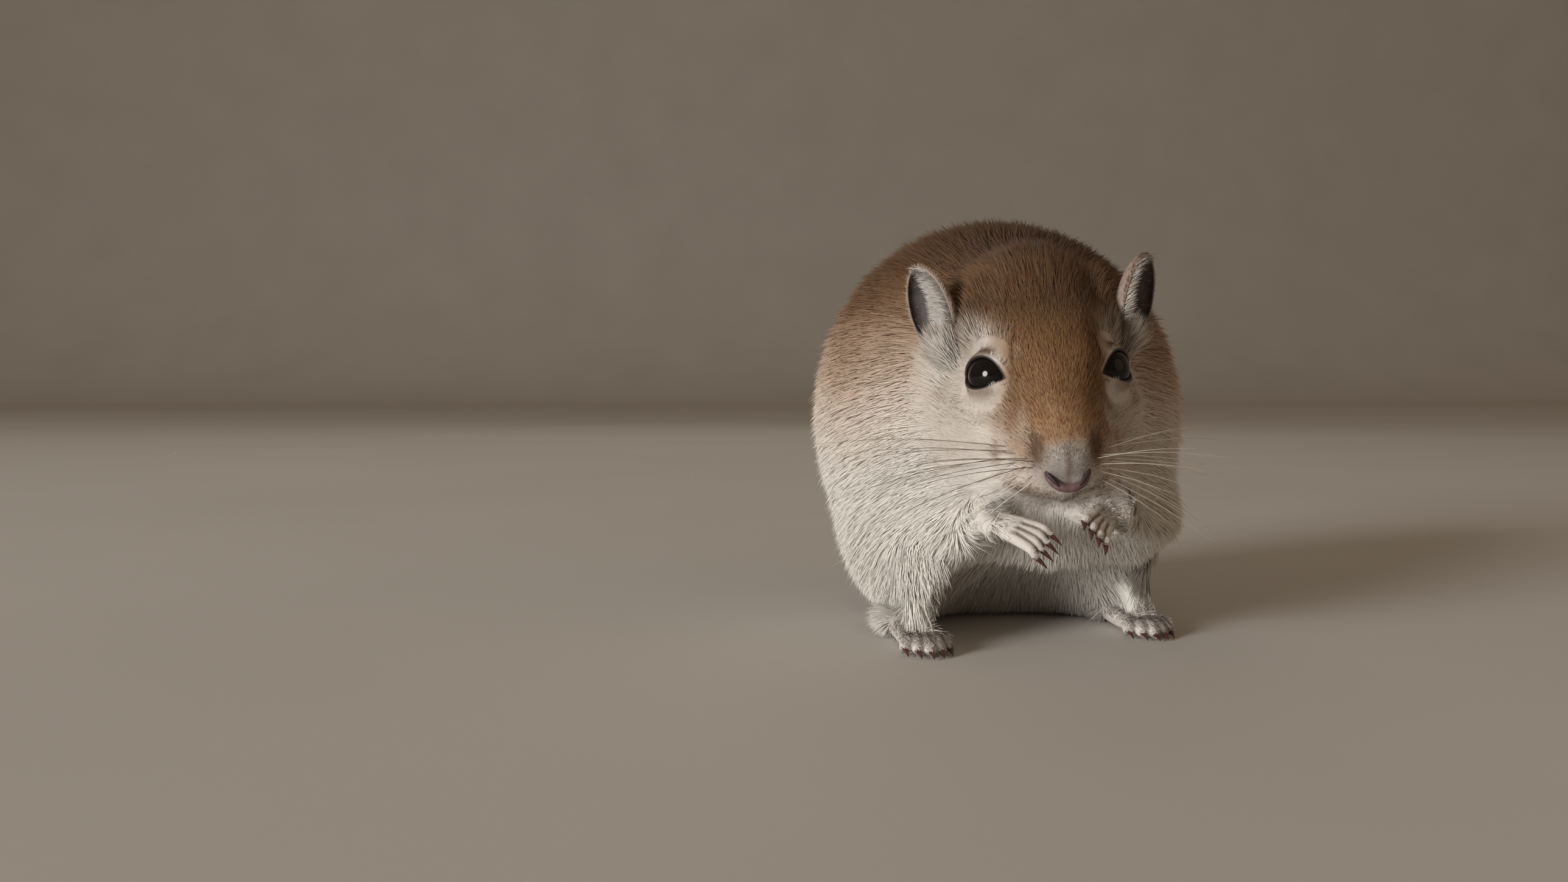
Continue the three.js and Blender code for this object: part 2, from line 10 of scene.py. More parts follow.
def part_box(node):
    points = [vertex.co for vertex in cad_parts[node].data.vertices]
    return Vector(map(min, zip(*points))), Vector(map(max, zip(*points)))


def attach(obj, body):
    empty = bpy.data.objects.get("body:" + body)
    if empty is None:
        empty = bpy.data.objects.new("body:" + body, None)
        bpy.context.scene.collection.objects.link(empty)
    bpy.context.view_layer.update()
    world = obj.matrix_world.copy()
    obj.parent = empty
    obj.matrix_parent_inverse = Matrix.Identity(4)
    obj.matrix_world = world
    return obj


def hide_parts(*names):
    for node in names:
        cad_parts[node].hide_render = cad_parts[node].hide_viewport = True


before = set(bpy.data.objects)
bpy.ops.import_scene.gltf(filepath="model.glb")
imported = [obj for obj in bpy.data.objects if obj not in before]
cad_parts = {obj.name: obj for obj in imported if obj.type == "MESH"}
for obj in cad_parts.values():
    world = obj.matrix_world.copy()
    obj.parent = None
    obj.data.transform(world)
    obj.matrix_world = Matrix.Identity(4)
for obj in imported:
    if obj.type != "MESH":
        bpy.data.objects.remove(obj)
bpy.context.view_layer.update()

MM = 0.001

# The flesh that the skin stands for
TRUNK_NODES = ["torso", "head", "haunch_right", "haunch_left", "shin_right", "shin_left",
               "forearm_right", "forearm_left", "tail_root", "tail_middle"]
LIMB_NODES = ["hand_right", "hand_left", "hind_foot_right", "hind_foot_left", "tail_brush"]
SIDES = {"right": -1, "left": 1}

# Head, in its own axes: x to the animal's left, y away from the nose, z to the crown.
# The brow's axes are the same before the head is pitched down.
HEAD_PITCH = 34
NOSE_TIP = (0, -19.2, -4.8)
EYE_RADIUS = 3.8
LID_GAP = 0.3
EYE_OPENING = (8.5, 5.5)
LID_RIM = 0.2
LID_RIM_LIFT = 0.28
LID_SWELL = 0.35
EAR_ROOT = (13.2, 9.4, 2.6)
EAR_TIP = (17.6, 11.0, 17.9)
EAR_OPENS = (0.76, -0.65, 0.0)
EAR_LENGTH = 15.5
EAR_WIDTH = 8.6
EAR_DEPTH = 2.5
EAR_WALL = 0.38
EAR_TUFT_RADIUS = 3.3
EAR_TUFT_FORWARD = {"right": 1.6, "left": 0.6}
LIPS_MIDDLE = (0, -13.8, -7.7)
LIPS_RADII = (6.6, 4.2, 3.1)
NOSE_RIM = [(-2.95, -17.2, -4.9), (-2.5, -17.9, -5.4), (-1.5, -18.7, -6.05), (0, -19.0, -6.3),
            (1.5, -18.7, -6.05), (2.5, -17.9, -5.4), (2.95, -17.2, -4.9)]
NOSE_RIM_RADII = [0.3, 0.5, 0.62, 0.6, 0.62, 0.5, 0.3]
NOSTRIL = [(2.9, -17.2, -4.5), (2.3, -18.3, -5.0), (1.4, -19.1, -5.65)]
NOSTRIL_RADII = [0.3, 0.4, 0.15]

# Limbs and tail
ELBOW = (15, -38, 18)
WRIST = {"right": (-11, -46.5, 19.2), "left": (2.4, -48.6, 20.4)}
KNUCKLES = {"right": (-7.6, -49, 17.6), "left": (-0.2, -51.6, 19)}
CLAW_TIPS = {"right": (-5, -50.4, 15.3), "left": (-0.7, -54.4, 17.9)}
HAND_BACK = {"right": (-0.25, -0.75, 0.6), "left": (0.1, -0.93, 0.35)}
FINGER_SPACING = 1.22
FINGER_RADII = [0.95, 0.9, 0.72, 0.6, 0.55]
FINGER_CLAW = 2.1
TOES = {"right": (-20.6, -37), "left": (16.5, -28)}
FOOT_LENGTH = 29
TOE_RADII = [1.7, 1.5, 1.15, 0.95, 0.9]
TOE_CLAW = 1.9
CLAW_RADII = [0.42, 0.34, 0.05]
SHIN_RADII = [5.4, 4.7, 4.0, 2.2]
TAIL_ROUTE = [(0, 19.5, 7), (0.5, 26.5, 4), (3, 38.5, 2.25), (9, 58.5, 2.15), (13, 78.5, 2.05),
              (11, 98.5, 2.1), (5, 114.5, 2.3)]
TAIL_RADII = [2.6, 2.5, 2.4, 2.3, 2.2, 2.0, 1.5]

# Depth of the coat over the skin
BODY_COAT = 3.1
FACE_COAT = 0.9
LIMB_COAT = 0.8
TAIL_COAT = 0.9

# How far from the middle of each forearm its coat stays thin
THIN_ARM = {"right": 2.8, "left": 4}

# How far the flesh swells to close its creases before it shrinks back, on the body and on the face
CREASE_FILL = 2.4
FACE_CREASE_FILL = 1.6

# Balls of soft flesh that round off the hollows between the solids: middle and radii
FILLINGS = {
    "nape": ((-1, -20, 44), (15, 11, 17)),
    "elbow_fold_right": ((-14, -36, 19), (8, 7, 8.5)),
    "elbow_fold_left": ((11, -36, 18), (8, 6.5, 8)),
    "chest": ((0, -36, 20), (13, 6, 10)),
    "behind_crown": ((-1, -20, 49), (14, 12, 13.5)),
    "over_heel_right": ((-20, -18, 13), (8, 13, 12)),
    "over_heel_left": ((17.5, -14, 13), (8, 12, 12)),
    "forearm_left": ((6.5, -43.5, 22.5), (6, 5, 4.5)),
    "haunch_front": ((-19.5, -30, 15.5), (6, 6.5, 8)),
}

# How far the flesh stands off the solids, the grids on which its shells are melted together,
# the steps in which it swells and sinks, and the rounds of smoothing on the broad body
FLESH_SWELL = 0.3
SKIN_VOXEL = 0.62
HAND_VOXEL = 0.18
FOOT_VOXEL = 0.28
SWELL_STEPS = 4
SINK_STEPS = 8
CALM_ROUNDS = 24

# Least heights over the floor, where the animal rests on it
SKIN_FLOOR = 0.15
PAW_FLOOR = 0.1
HAIR_FLOOR = 0.05

# Heights over which the body's coat turns from white to tan and from tan to brown. The brown is the coat's
# own darker back, set lower and darker than it so that it also paints the shade over the top.
# The white bib starts this far ahead of the middle, and the tail this far behind it.
TAN_LOW = (24, 44)
TAN_HIGH = (36, 60)
BROWN_LOW = (36, 54)
BROWN_HIGH = (44, 60)
WHITE_BIB = (24, 34)
TAIL_STARTS = (18, 30)

# The tan stripe down the face: half its width at places behind the nose, and how far its edge fades
STRIPE_PLACES = [-17, -14, -10, -4, 0, 6, 12, 20]
STRIPE_WIDTHS = [4.4, 6.0, 7.6, 8.4, 8.8, 11.2, 15, 20]
STRIPE_INSIDE = 4.0
STRIPE_OUTSIDE = 3.6

# Soft spots on both sides of the head: middle and radii
CHEEK_SPOT = ((12.5, 3, -5), (4.5, 5, 4.5))
WHISKER_PAD = ((3.8, -14.9, -2.6), (1.4, 2.8, 2.6))
TEMPLE_SPOT = ((10.5, 7, 1.5), (4, 4, 3.5))

# Hairs in each piece of the coat, before the ears are thinned
FACE_HAIRS = 62000
BODY_HAIRS = 64000
TAIL_HAIRS = 20000
PAW_HAIRS = 22000
EAR_HAIRS = 24000

# The body's coat is in four pieces, from the front to the rear
BODY_BANDS = [-200, -22, -10, 4, 26]

# Hair: the scatter of its lie, the depth of its root, how far its rise differs, and its stretches
HAIR_JITTER = 0.14
ROOT_DEPTH = 0.25
RISE_SPREAD = 0.35
HAIR_SECTIONS = 2

# Large primes that turn the cell a hair stands in into the number of its tuft
CELL_PRIMES = [73856093, 19349663, 83492791]

# Whiskers on each side of the nose
WHISKER_ROWS = 4
WHISKER_COLUMNS = 5
WHISKER_RADII = [0.07, 0.055, 0.04, 0.01]

SEED = 4

# Width in the bake map of the patch that each tuft takes
PATCH = 0.003


# Small helpers

def deselect_all():
    bpy.ops.object.select_all(action="DESELECT")


def make_active(piece):
    deselect_all()
    piece.select_set(True)
    bpy.context.view_layer.objects.active = piece


def add_modifier(piece, kind, **settings):
    modifier = piece.modifiers.new(kind.lower(), kind)
    for name, value in settings.items():
        setattr(modifier, name, value)
    return modifier


def apply_modifiers(piece):
    make_active(piece)
    for modifier in list(piece.modifiers):
        bpy.ops.object.modifier_apply(modifier=modifier.name)


def add_object(name, data):
    piece = bpy.data.objects.new(name, data)
    bpy.context.scene.collection.objects.link(piece)
    return piece


def join_pieces(pieces, name):
    deselect_all()
    for piece in pieces:
        piece.select_set(True)
    bpy.context.view_layer.objects.active = pieces[0]
    if len(pieces) > 1:
        bpy.ops.object.join()
    pieces[0].name = name
    return pieces[0]


def bake_place(piece):
    """Moves the object's place into its mesh, so that the object itself sits at the origin."""
    make_active(piece)
    bpy.ops.object.transform_apply(location=True, rotation=True, scale=True)


def set_material(piece, material):
    piece.data.materials.clear()
    piece.data.materials.append(material)


def unwrap(piece):
    """Lays the piece's own shape out flat as its bake map."""
    piece.data.uv_layers.new(name="OFBake")
    make_active(piece)
    bpy.ops.object.mode_set(mode="EDIT")
    bpy.ops.mesh.select_all(action="SELECT")
    bpy.ops.uv.smart_project(angle_limit=math.radians(66), island_margin=0.004)
    bpy.ops.object.mode_set(mode="OBJECT")


def smooth_shade(piece):
    piece.data.polygons.foreach_set("use_smooth", [True] * len(piece.data.polygons))
    piece.data.update()


def vertex_places(mesh):
    places = np.empty(len(mesh.vertices) * 3)
    mesh.vertices.foreach_get("co", places)
    return places.reshape(-1, 3) / MM


def vertex_normals(mesh):
    normals = np.empty(len(mesh.vertices) * 3)
    mesh.vertices.foreach_get("normal", normals)
    return normals.reshape(-1, 3)


def set_places(mesh, places):
    mesh.vertices.foreach_set("co", (places * MM).ravel())
    mesh.update()


def unit(vectors):
    length = np.linalg.norm(vectors, axis=-1, keepdims=True)
    return vectors / np.maximum(length, 1e-9)


def smooth_step(low, high, value):
    share = np.clip((value - low) / (high - low), 0, 1)
    return share * share * (3 - 2 * share)


def fade(near, far, distance):
    """1 up to the near distance, falling to 0 at the far one."""
    return 1 - smooth_step(near, far, distance)


def blend(first, second, share):
    return first * (1 - share) + share * second


def square_to(vectors, out):
    """The part of each vector that lies square to the direction beside it."""
    return vectors - out * (vectors * out).sum(axis=1)[:, None]


def ripple(places, wavelength, seed):
    """A smooth random number from about -1 to 1 at each place, that changes over the wavelength."""
    rng = np.random.default_rng(seed)
    total = np.zeros(len(places))
    for _ in range(7):
        direction = unit(rng.normal(size=3)) * (0.7 + 0.6 * rng.random()) * 2 * math.pi / wavelength
        total += np.sin(places @ direction + rng.random() * 2 * math.pi)
    return total / 2.6


# The head's own axes, from the eyes of the solids

def box_middle(node):
    low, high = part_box(node)
    return (low + high) / 2 / MM


eye_places = {side: box_middle("eye_" + side) for side in SIDES}
head_side = (eye_places["left"] - eye_places["right"]).normalized()
head_level = Vector((0, 0, 1)).cross(head_side).normalized()
BROW_TURN = Matrix((head_side, head_level, head_side.cross(head_level))).transposed()
HEAD_TURN = BROW_TURN @ Euler((math.radians(HEAD_PITCH), 0, 0)).to_matrix()
HEAD_MIDDLE = (eye_places["left"] + eye_places["right"]) / 2


def on_head(x, y, z):
    return HEAD_TURN @ Vector((x, y, z)) + HEAD_MIDDLE


def on_brow(x, y, z):
    return BROW_TURN @ Vector((x, y, z)) + HEAD_MIDDLE


def to_head(places):
    return (places - np.array(HEAD_MIDDLE)) @ np.array(HEAD_TURN)


NOSE = np.array(on_head(*NOSE_TIP))


def faceness(places):
    """1 on the face, falling to 0 on the body."""
    in_head = to_head(places)
    reach = np.linalg.norm((in_head - np.array([0, -2, -3])) / np.array([17, 19, 14]), axis=1)
    return fade(0.9, 1.3, reach)


def near_segment(places, start, end):
    """How far each place lies from a straight line between two points."""
    start = np.array(start, float)
    line = np.array(end, float) - start
    share = np.clip((places - start) @ line / (line @ line), 0, 1)
    return np.linalg.norm(places - start - share[:, None] * line, axis=1)


# Markings: what colours the coat and the skin at each place

def bump_at(in_head, middle, radii):
    """A soft spot of 1 on both sides of the head, in the head's own axes."""
    offset = np.stack([np.abs(in_head[:, 0]), in_head[:, 1], in_head[:, 2]], axis=1) - np.array(middle)
    return np.exp(-((offset / np.array(radii)) ** 2).sum(axis=1))


def body_markings(places):
    _, y, z = places.T
    line = z - 1.3 * ripple(places, 14, 11)
    upper_line = z + 1.2 * ripple(places, 9, 12)
    buff = 0.45 * smooth_step(*TAN_LOW, line) + 0.55 * smooth_step(*TAN_HIGH, line)
    buff *= 1 - 0.85 * smooth_step(*WHITE_BIB, -y) * fade(40, 50, z)
    # Brown of the back: partly the coat's own colour, partly painted shade over the top.
    brown = 0.5 * smooth_step(*BROWN_LOW, line) + 0.47 * smooth_step(*BROWN_HIGH, upper_line)
    tail = smooth_step(*TAIL_STARTS, y)
    buff = buff * (1 - tail) + tail * 0.8 * smooth_step(1.0, 4.0, z)
    brown = brown * (1 - tail) + tail * smooth_step(84, 100, y)
    return buff, brown


def eye_rings(places):
    """1 round each eye, falling to 0 over the cheek."""
    ring = np.zeros(len(places))
    for place in eye_places.values():
        away = np.linalg.norm(places - np.array(place), axis=1)
        ring = np.maximum(ring, fade(5.0, 9.0, away))
    return ring


def face_markings(places):
    in_head = to_head(places)
    x, y, z = in_head.T
    side = np.abs(x)
    stripe = np.interp(y, STRIPE_PLACES, STRIPE_WIDTHS)
    stripe += 0.8 * ripple(places, 4, 13)
    buff = fade(stripe - STRIPE_INSIDE, stripe + STRIPE_OUTSIDE, side)
    buff = np.maximum(buff, 0.34 * bump_at(in_head, *CHEEK_SPOT))
    buff *= smooth_step(-17.6, -15.0, y) * smooth_step(-12, -6, z)
    ring = eye_rings(places)
    buff *= 1 - 0.75 * ring * smooth_step(6.0, 9.5, side)
    buff = np.maximum(buff, 0.2 * smooth_step(-12, -4, y))
    brown = buff * (0.47 + 0.43 * smooth_step(-8, 10, y))
    brown = np.maximum(brown, np.minimum(0.97, 1.3 * bump_at(in_head, *WHISKER_PAD)))
    tip = fade(-17.0, -15.0, y)
    # A dark line down the middle of the nose tip paints the shade in its cleft.
    cleft_shade = np.exp(-(side / 0.4) ** 2) * tip * smooth_step(-7.5, -6, z)
    brown = np.maximum(brown, 0.7 * cleft_shade)
    patch = tip * smooth_step(-8, -6, z) * (1 - 0.7 * smooth_step(2.4, 3.8, side))
    grey = np.maximum(0.95 * patch, 0.12 * ring)
    grey = np.maximum(grey, 0.5 * bump_at(in_head, *TEMPLE_SPOT))
    tuft = before_ears(places)
    buff *= 1 - 0.8 * tuft
    brown *= 1 - 0.8 * tuft
    chin = fade(-13.5, -10, y) * fade(-9, -7.2, z)
    return buff, brown, grey, 0.15 * chin


def markings(places):
    """Shares of buff, brown, grey and pink in the coat at each place. The rest is cream white."""
    face = faceness(places)
    body_buff, body_brown = body_markings(places)
    face_buff, face_brown, grey, pink = face_markings(places)
    return {"buff": blend(body_buff, face_buff, face),
            "brown": blend(body_brown, face_brown, face),
            "grey": face * grey,
            "pink": face * pink}


def add_number(mesh, name, values):
    attribute = mesh.attributes.get(name) or mesh.attributes.new(name, "FLOAT", "POINT")
    attribute.data.foreach_set("value", np.asarray(values, np.float32))


# Materials

def new_material(name):
    material = bpy.data.materials.new(name)
    material.use_nodes = True
    tree = material.node_tree
    shader = tree.nodes["Principled BSDF"]
    return material, tree, shader


def attribute_of(tree, name):
    node = tree.nodes.new("ShaderNodeAttribute")
    node.attribute_name = name
    return node.outputs["Fac"]


def mix_colour(tree, share, first, second):
    """The first colour where the share is 0 and the second where it is 1. Each may be a socket."""
    node = tree.nodes.new("ShaderNodeMix")
    node.data_type = "RGBA"
    sockets = (node.inputs["Factor"], node.inputs[6], node.inputs[7])
    for socket, value in zip(sockets, (share, first, second)):
        if isinstance(value, bpy.types.NodeSocket):
            tree.links.new(value, socket)
        else:
            socket.default_value = (*value, 1)
    return node.outputs[2]


def map_range(tree, value, low, high, to_low=0.0, to_high=1.0):
    node = tree.nodes.new("ShaderNodeMapRange")
    tree.links.new(value, node.inputs["Value"])
    node.inputs["From Min"].default_value = low
    node.inputs["From Max"].default_value = high
    node.inputs["To Min"].default_value = to_low
    node.inputs["To Max"].default_value = to_high
    return node.outputs["Result"]


def multiply(tree, first, second):
    node = tree.nodes.new("ShaderNodeMath")
    node.operation = "MULTIPLY"
    tree.links.new(first, node.inputs[0])
    tree.links.new(second, node.inputs[1])
    return node.outputs["Value"]


def noise(tree, scale):
    place = tree.nodes.new("ShaderNodeTexCoord")
    node = tree.nodes.new("ShaderNodeTexNoise")
    node.inputs["Scale"].default_value = scale
    node.inputs["Detail"].default_value = 3.0
    tree.links.new(place.outputs["Object"], node.inputs["Vector"])
    return node.outputs["Fac"]


def add_bump(tree, shader, height, strength, distance):
    bump = tree.nodes.new("ShaderNodeBump")
    bump.inputs["Strength"].default_value = strength
    bump.inputs["Distance"].default_value = distance
    tree.links.new(height, bump.inputs["Height"])
    tree.links.new(bump.outputs["Normal"], shader.inputs["Normal"])


CREAM = (0.79, 0.76, 0.71)
BUFF = (0.5, 0.265, 0.105)
# The coat's own dark brown, made darker still to paint the shade over the top of the back.
BROWN = (0.095, 0.043, 0.018)
GREY = (0.30, 0.265, 0.24)
PINK = (0.62, 0.42, 0.40)
UNDERCOAT = (0.40, 0.34, 0.28)


def coat_colour(tree):
    colour = mix_colour(tree, attribute_of(tree, "buff"), CREAM, BUFF)
    colour = mix_colour(tree, attribute_of(tree, "grey"), colour, GREY)
    colour = mix_colour(tree, attribute_of(tree, "pink"), colour, PINK)
    return mix_colour(tree, attribute_of(tree, "brown"), colour, BROWN)


def fur_material(name):
    """Hair in the colours of the markings, that differs from tuft to tuft and is darker at the root."""
    material, tree, shader = new_material(name)
    colour = coat_colour(tree)
    outer = map_range(tree, attribute_of(tree, "along"), 0.35, 0.8)
    tick = multiply(tree, attribute_of(tree, "tick"), outer)
    colour = mix_colour(tree, tick, colour, BROWN)
    tone = map_range(tree, attribute_of(tree, "tone"), 0, 1, 0.14, 0.0)
    colour = mix_colour(tree, tone, colour, UNDERCOAT)
    root = map_range(tree, attribute_of(tree, "along"), 0.0, 0.45, 0.3, 0.0)
    colour = mix_colour(tree, root, colour, UNDERCOAT)
    tree.links.new(colour, shader.inputs["Base Color"])
    shader.inputs["Roughness"].default_value = 0.62
    shader.inputs["Specular IOR Level"].default_value = 0.12
    shader.inputs["Sheen Weight"].default_value = 0.03
    shader.inputs["Sheen Roughness"].default_value = 0.5
    return material


def skin_material():
    """Skin under the coat, in the coat's own markings."""
    material, tree, shader = new_material("skin_under_coat")
    colour = coat_colour(tree)
    grain = noise(tree, 900)
    colour = mix_colour(tree, map_range(tree, grain, 0.3, 0.7, 0.0, 0.2), colour, UNDERCOAT)
    tree.links.new(colour, shader.inputs["Base Color"])
    shader.inputs["Roughness"].default_value = 0.8
    add_bump(tree, shader, grain, 0.4, 0.0003)
    return material


def plain_material(name, low, high, roughness, scale=600, bump=0.3, coat=0.0, specular=0.5):
    """A bare surface whose colour wanders between two shades."""
    material, tree, shader = new_material(name)
    grain = noise(tree, scale)
    colour = mix_colour(tree, map_range(tree, grain, 0.35, 0.65), low, high)
    tree.links.new(colour, shader.inputs["Base Color"])
    shader.inputs["Roughness"].default_value = roughness
    shader.inputs["Specular IOR Level"].default_value = specular
    shader.inputs["Coat Weight"].default_value = coat
    shader.inputs["Coat Roughness"].default_value = 0.05
    add_bump(tree, shader, grain, bump, 0.0001)
    return material


# Camera, lights and floor

CAMERA_PLACE = (-64.4, -222.6, 38)
CAMERA_TILT = 87.8
CAMERA_TURN = -7.2
CAMERA_LENS = 29.95

# Lamps: place, width, power and colour. Their places and widths are metres.
LAMPS = {
    "window_light": ((-1.72, -1.12, 0.42), 0.8, 37, (1.0, 0.985, 0.96)),
    "room_light": ((0.9, -0.6, 0.4), 0.9, 0.6, (1.0, 0.68, 0.42)),
    "back_light": ((0.1, 0.9, 0.7), 0.6, 0.6, (1.0, 0.93, 0.84)),
}
LAMP_AIM = (0, 0, 0.03)
ROOM_COLOUR = (1.0, 0.78, 0.56)
ROOM_STRENGTH = 0.16


def stand_camera():
    """The camera as it was solved from the photo."""
    data = bpy.data.cameras.new("camera")
    data.sensor_width = 36
    data.lens = CAMERA_LENS
    data.clip_start = 0.01
    data.clip_end = 20
    camera = add_object("camera", data)
    camera.location = Vector(CAMERA_PLACE) * MM
    camera.rotation_euler = (math.radians(CAMERA_TILT), 0, math.radians(CAMERA_TURN))
    bpy.context.scene.camera = camera


def add_lamp(name, place, size, power, colour):
    data = bpy.data.lights.new(name, "AREA")
    data.shape = "DISK"
    data.size = size
    data.energy = power
    data.color = colour
    lamp = add_object(name, data)
    lamp.location = place
    lamp.rotation_euler = (Vector(LAMP_AIM) - Vector(place)).to_track_quat("-Z", "Y").to_euler()


def light_scene():
    """A window low on the viewer's left and warm dim light from the room."""
    for name, (place, size, power, colour) in LAMPS.items():
        add_lamp(name, place, size, power, colour)
    world = bpy.data.worlds.new("room")
    world.use_nodes = True
    background = world.node_tree.nodes["Background"]
    background.inputs["Color"].default_value = (*ROOM_COLOUR, 1)
    background.inputs["Strength"].default_value = ROOM_STRENGTH
    bpy.context.scene.world = world
    bpy.context.scene.view_settings.view_transform = "Standard"


def lay_floor():
    """A pale floor that curves up far behind into a plain wall."""
    bpy.ops.mesh.primitive_plane_add(size=1, location=(0, 0, 0))
    floor = bpy.context.object
    floor.name = "floor"
    floor.scale = (12, 8, 1)
    bake_place(floor)
    bpy.ops.object.mode_set(mode="EDIT")
    bpy.ops.mesh.select_all(action="DESELECT")
    bpy.ops.object.mode_set(mode="OBJECT")
    for edge in floor.data.edges:
        edge.select = all(floor.data.vertices[end].co.y > 1 for end in edge.vertices)
    bpy.ops.object.mode_set(mode="EDIT")
    bpy.ops.mesh.extrude_region_move(TRANSFORM_OT_translate={"value": (0, 0, 3)})
    bpy.ops.object.mode_set(mode="OBJECT")
    add_modifier(floor, "BEVEL", width=0.6, segments=12)
    apply_modifiers(floor)
    smooth_shade(floor)
    material, tree, shader = new_material("pale_floor")
    cloud = map_range(tree, noise(tree, 6), 0.3, 0.7)
    shade = mix_colour(tree, cloud, (0.66, 0.63, 0.59), (0.7, 0.67, 0.63))
    tree.links.new(shade, shader.inputs["Base Color"])
    shader.inputs["Roughness"].default_value = 0.85
    set_material(floor, material)


# Flesh

def tube(name, places, radii, sides=12):
    """A round rod with closed ends along a smooth line of places."""
    data = bpy.data.curves.new(name, "CURVE")
    data.dimensions = "3D"
    spline = data.splines.new("NURBS")
    spline.points.add(len(places) - 1)
    for point, place, radius in zip(spline.points, places, radii):
        point.co = (*(Vector(place) * MM), 1)
        point.radius = radius
    spline.use_endpoint_u = True
    spline.order_u = 3
    data.resolution_u = 6
    data.bevel_depth = MM
    data.bevel_resolution = max(1, sides // 4 - 1)
    data.use_fill_caps = True
    piece = add_object(name, data)
    make_active(piece)
    bpy.ops.object.convert(target="MESH")
    piece = bpy.context.object
    piece.name = name
    return piece


def ball(name, place, radii, turn=None, segments=24):
    bpy.ops.mesh.primitive_uv_sphere_add(segments=segments, ring_count=segments // 2, radius=1)
    piece = bpy.context.object
    piece.name = name
    scale = Matrix.Diagonal((*radii, 1))
    rotation = (turn or Matrix.Identity(3)).to_4x4()
    piece.matrix_world = Matrix.Scale(MM, 4) @ Matrix.Translation(Vector(place)) @ rotation @ scale
    bake_place(piece)
    return piece


def flesh_copy(node):
    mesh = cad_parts[node].data.copy()
    mesh.materials.clear()
    piece = add_object("flesh_" + node, mesh)
    make_active(piece)
    bpy.ops.object.mode_set(mode="EDIT")
    bpy.ops.mesh.select_all(action="SELECT")
    bpy.ops.mesh.remove_doubles(threshold=1e-6)
    bpy.ops.object.mode_set(mode="OBJECT")
    add_modifier(piece, "DISPLACE", strength=FLESH_SWELL * MM, mid_level=0)
    apply_modifiers(piece)
    return piece


def arm_end(side, length):
    """The last stretch of the forearm, as two ends of a line."""
    sign = SIDES[side]
    wrist = Vector(WRIST[side])
    elbow = Vector((ELBOW[0] * sign, ELBOW[1], ELBOW[2]))
    return wrist + (elbow - wrist).normalized() * length, wrist


def ear_line(side):
    sign = SIDES[side]
    return on_brow(EAR_ROOT[0] * sign, *EAR_ROOT[1:]), on_brow(EAR_TIP[0] * sign, *EAR_TIP[1:])


def ear_axes(side):
    """The middle of the ear's cup, and the turn from its width, length and opening."""
    root, tip = ear_line(side)
    long = (tip - root).normalized()
    opening = BROW_TURN @ Vector((EAR_OPENS[0] * SIDES[side], *EAR_OPENS[1:]))
    opening = (opening - long * opening.dot(long)).normalized()
    turn = Matrix((long.cross(opening), long, opening)).transposed()
    return root + long * EAR_LENGTH / 2, turn


def ear_front(side):
    """The ear's root and tip, the direction between them and the one in which the ear opens."""
    root, tip = ear_line(side)
    return root, tip, (tip - root).normalized(), ear_axes(side)[1].col[2].copy()


def before_ears(places):
    """1 at the tuft of hair in front of each ear's root."""
    share = np.zeros(len(places))
    for side in SIDES:
        root, _, long, opening = ear_front(side)
        middle = root + opening * 2.0
        share = np.maximum(share, fade(2.0, 4.5, near_segment(places, middle - long, middle + long * 2)))
    return share


def shin_line(side):
    x, y = TOES[side]
    return (x, y, 3), (x, y + 4, 11)


def away_from_eyes(places, near, far):
    """0 at the eyes, rising to 1 between two distances from their middles."""
    share = np.ones(len(places))
    for place in eye_places.values():
        share *= smooth_step(near, far, np.linalg.norm(places - np.array(place), axis=1))
    return share


def crease_fill(places):
    """How far the flesh swells before it melts together and shrinks back, which fills its creases."""
    face = faceness(places)
    fill = blend(CREASE_FILL, FACE_CREASE_FILL, face)
    for side in SIDES:
        hand = smooth_step(3, 8, near_segment(places, WRIST[side], CLAW_TIPS[side]))
        fill *= np.maximum(hand, smooth_step(22, 26, places[:, 2]))
        fill *= smooth_step(4, 9, near_segment(places, *ear_line(side)))
    fill *= away_from_eyes(places, 4.3, 6.6)
    return fill * fade(16, 26, places[:, 1])


def coat_depth(places):
    """How deep the skin lies under the tips of the coat."""
    x, y, _ = to_head(places).T
    face = faceness(places)
    cheek = smooth_step(5, 12, np.abs(x)) * smooth_step(-8, 4, y)
    depth = (1 - face) * BODY_COAT + face * (FACE_COAT + 0.8 * cheek)
    for side in SIDES:
        for line, near in ((arm_end(side, 2), THIN_ARM[side]), (shin_line(side), 4), (TAIL_ROUTE[:2], 4)):
            thick = smooth_step(near, 2 * near, near_segment(places, *line))
            depth = LIMB_COAT + (depth - LIMB_COAT) * thick
    depth *= away_from_eyes(places, 4.3, 6.6)
    return blend(depth, TAIL_COAT, smooth_step(18, 28, places[:, 1]))


def soften(mesh, places, rounds, share=0.5):
    """Moves each vertex towards the middle of its neighbours."""
    edges = np.empty(len(mesh.edges) * 2, np.int64)
    mesh.edges.foreach_get("vertices", edges)
    edges = edges.reshape(-1, 2)
    count = np.bincount(edges.ravel(), minlength=len(places))[:, None]
    for _ in range(rounds):
        total = np.zeros_like(places)
        np.add.at(total, edges[:, 0], places[edges[:, 1]])
        np.add.at(total, edges[:, 1], places[edges[:, 0]])
        places = places + share * (total / np.maximum(count, 1) - places)
    return places


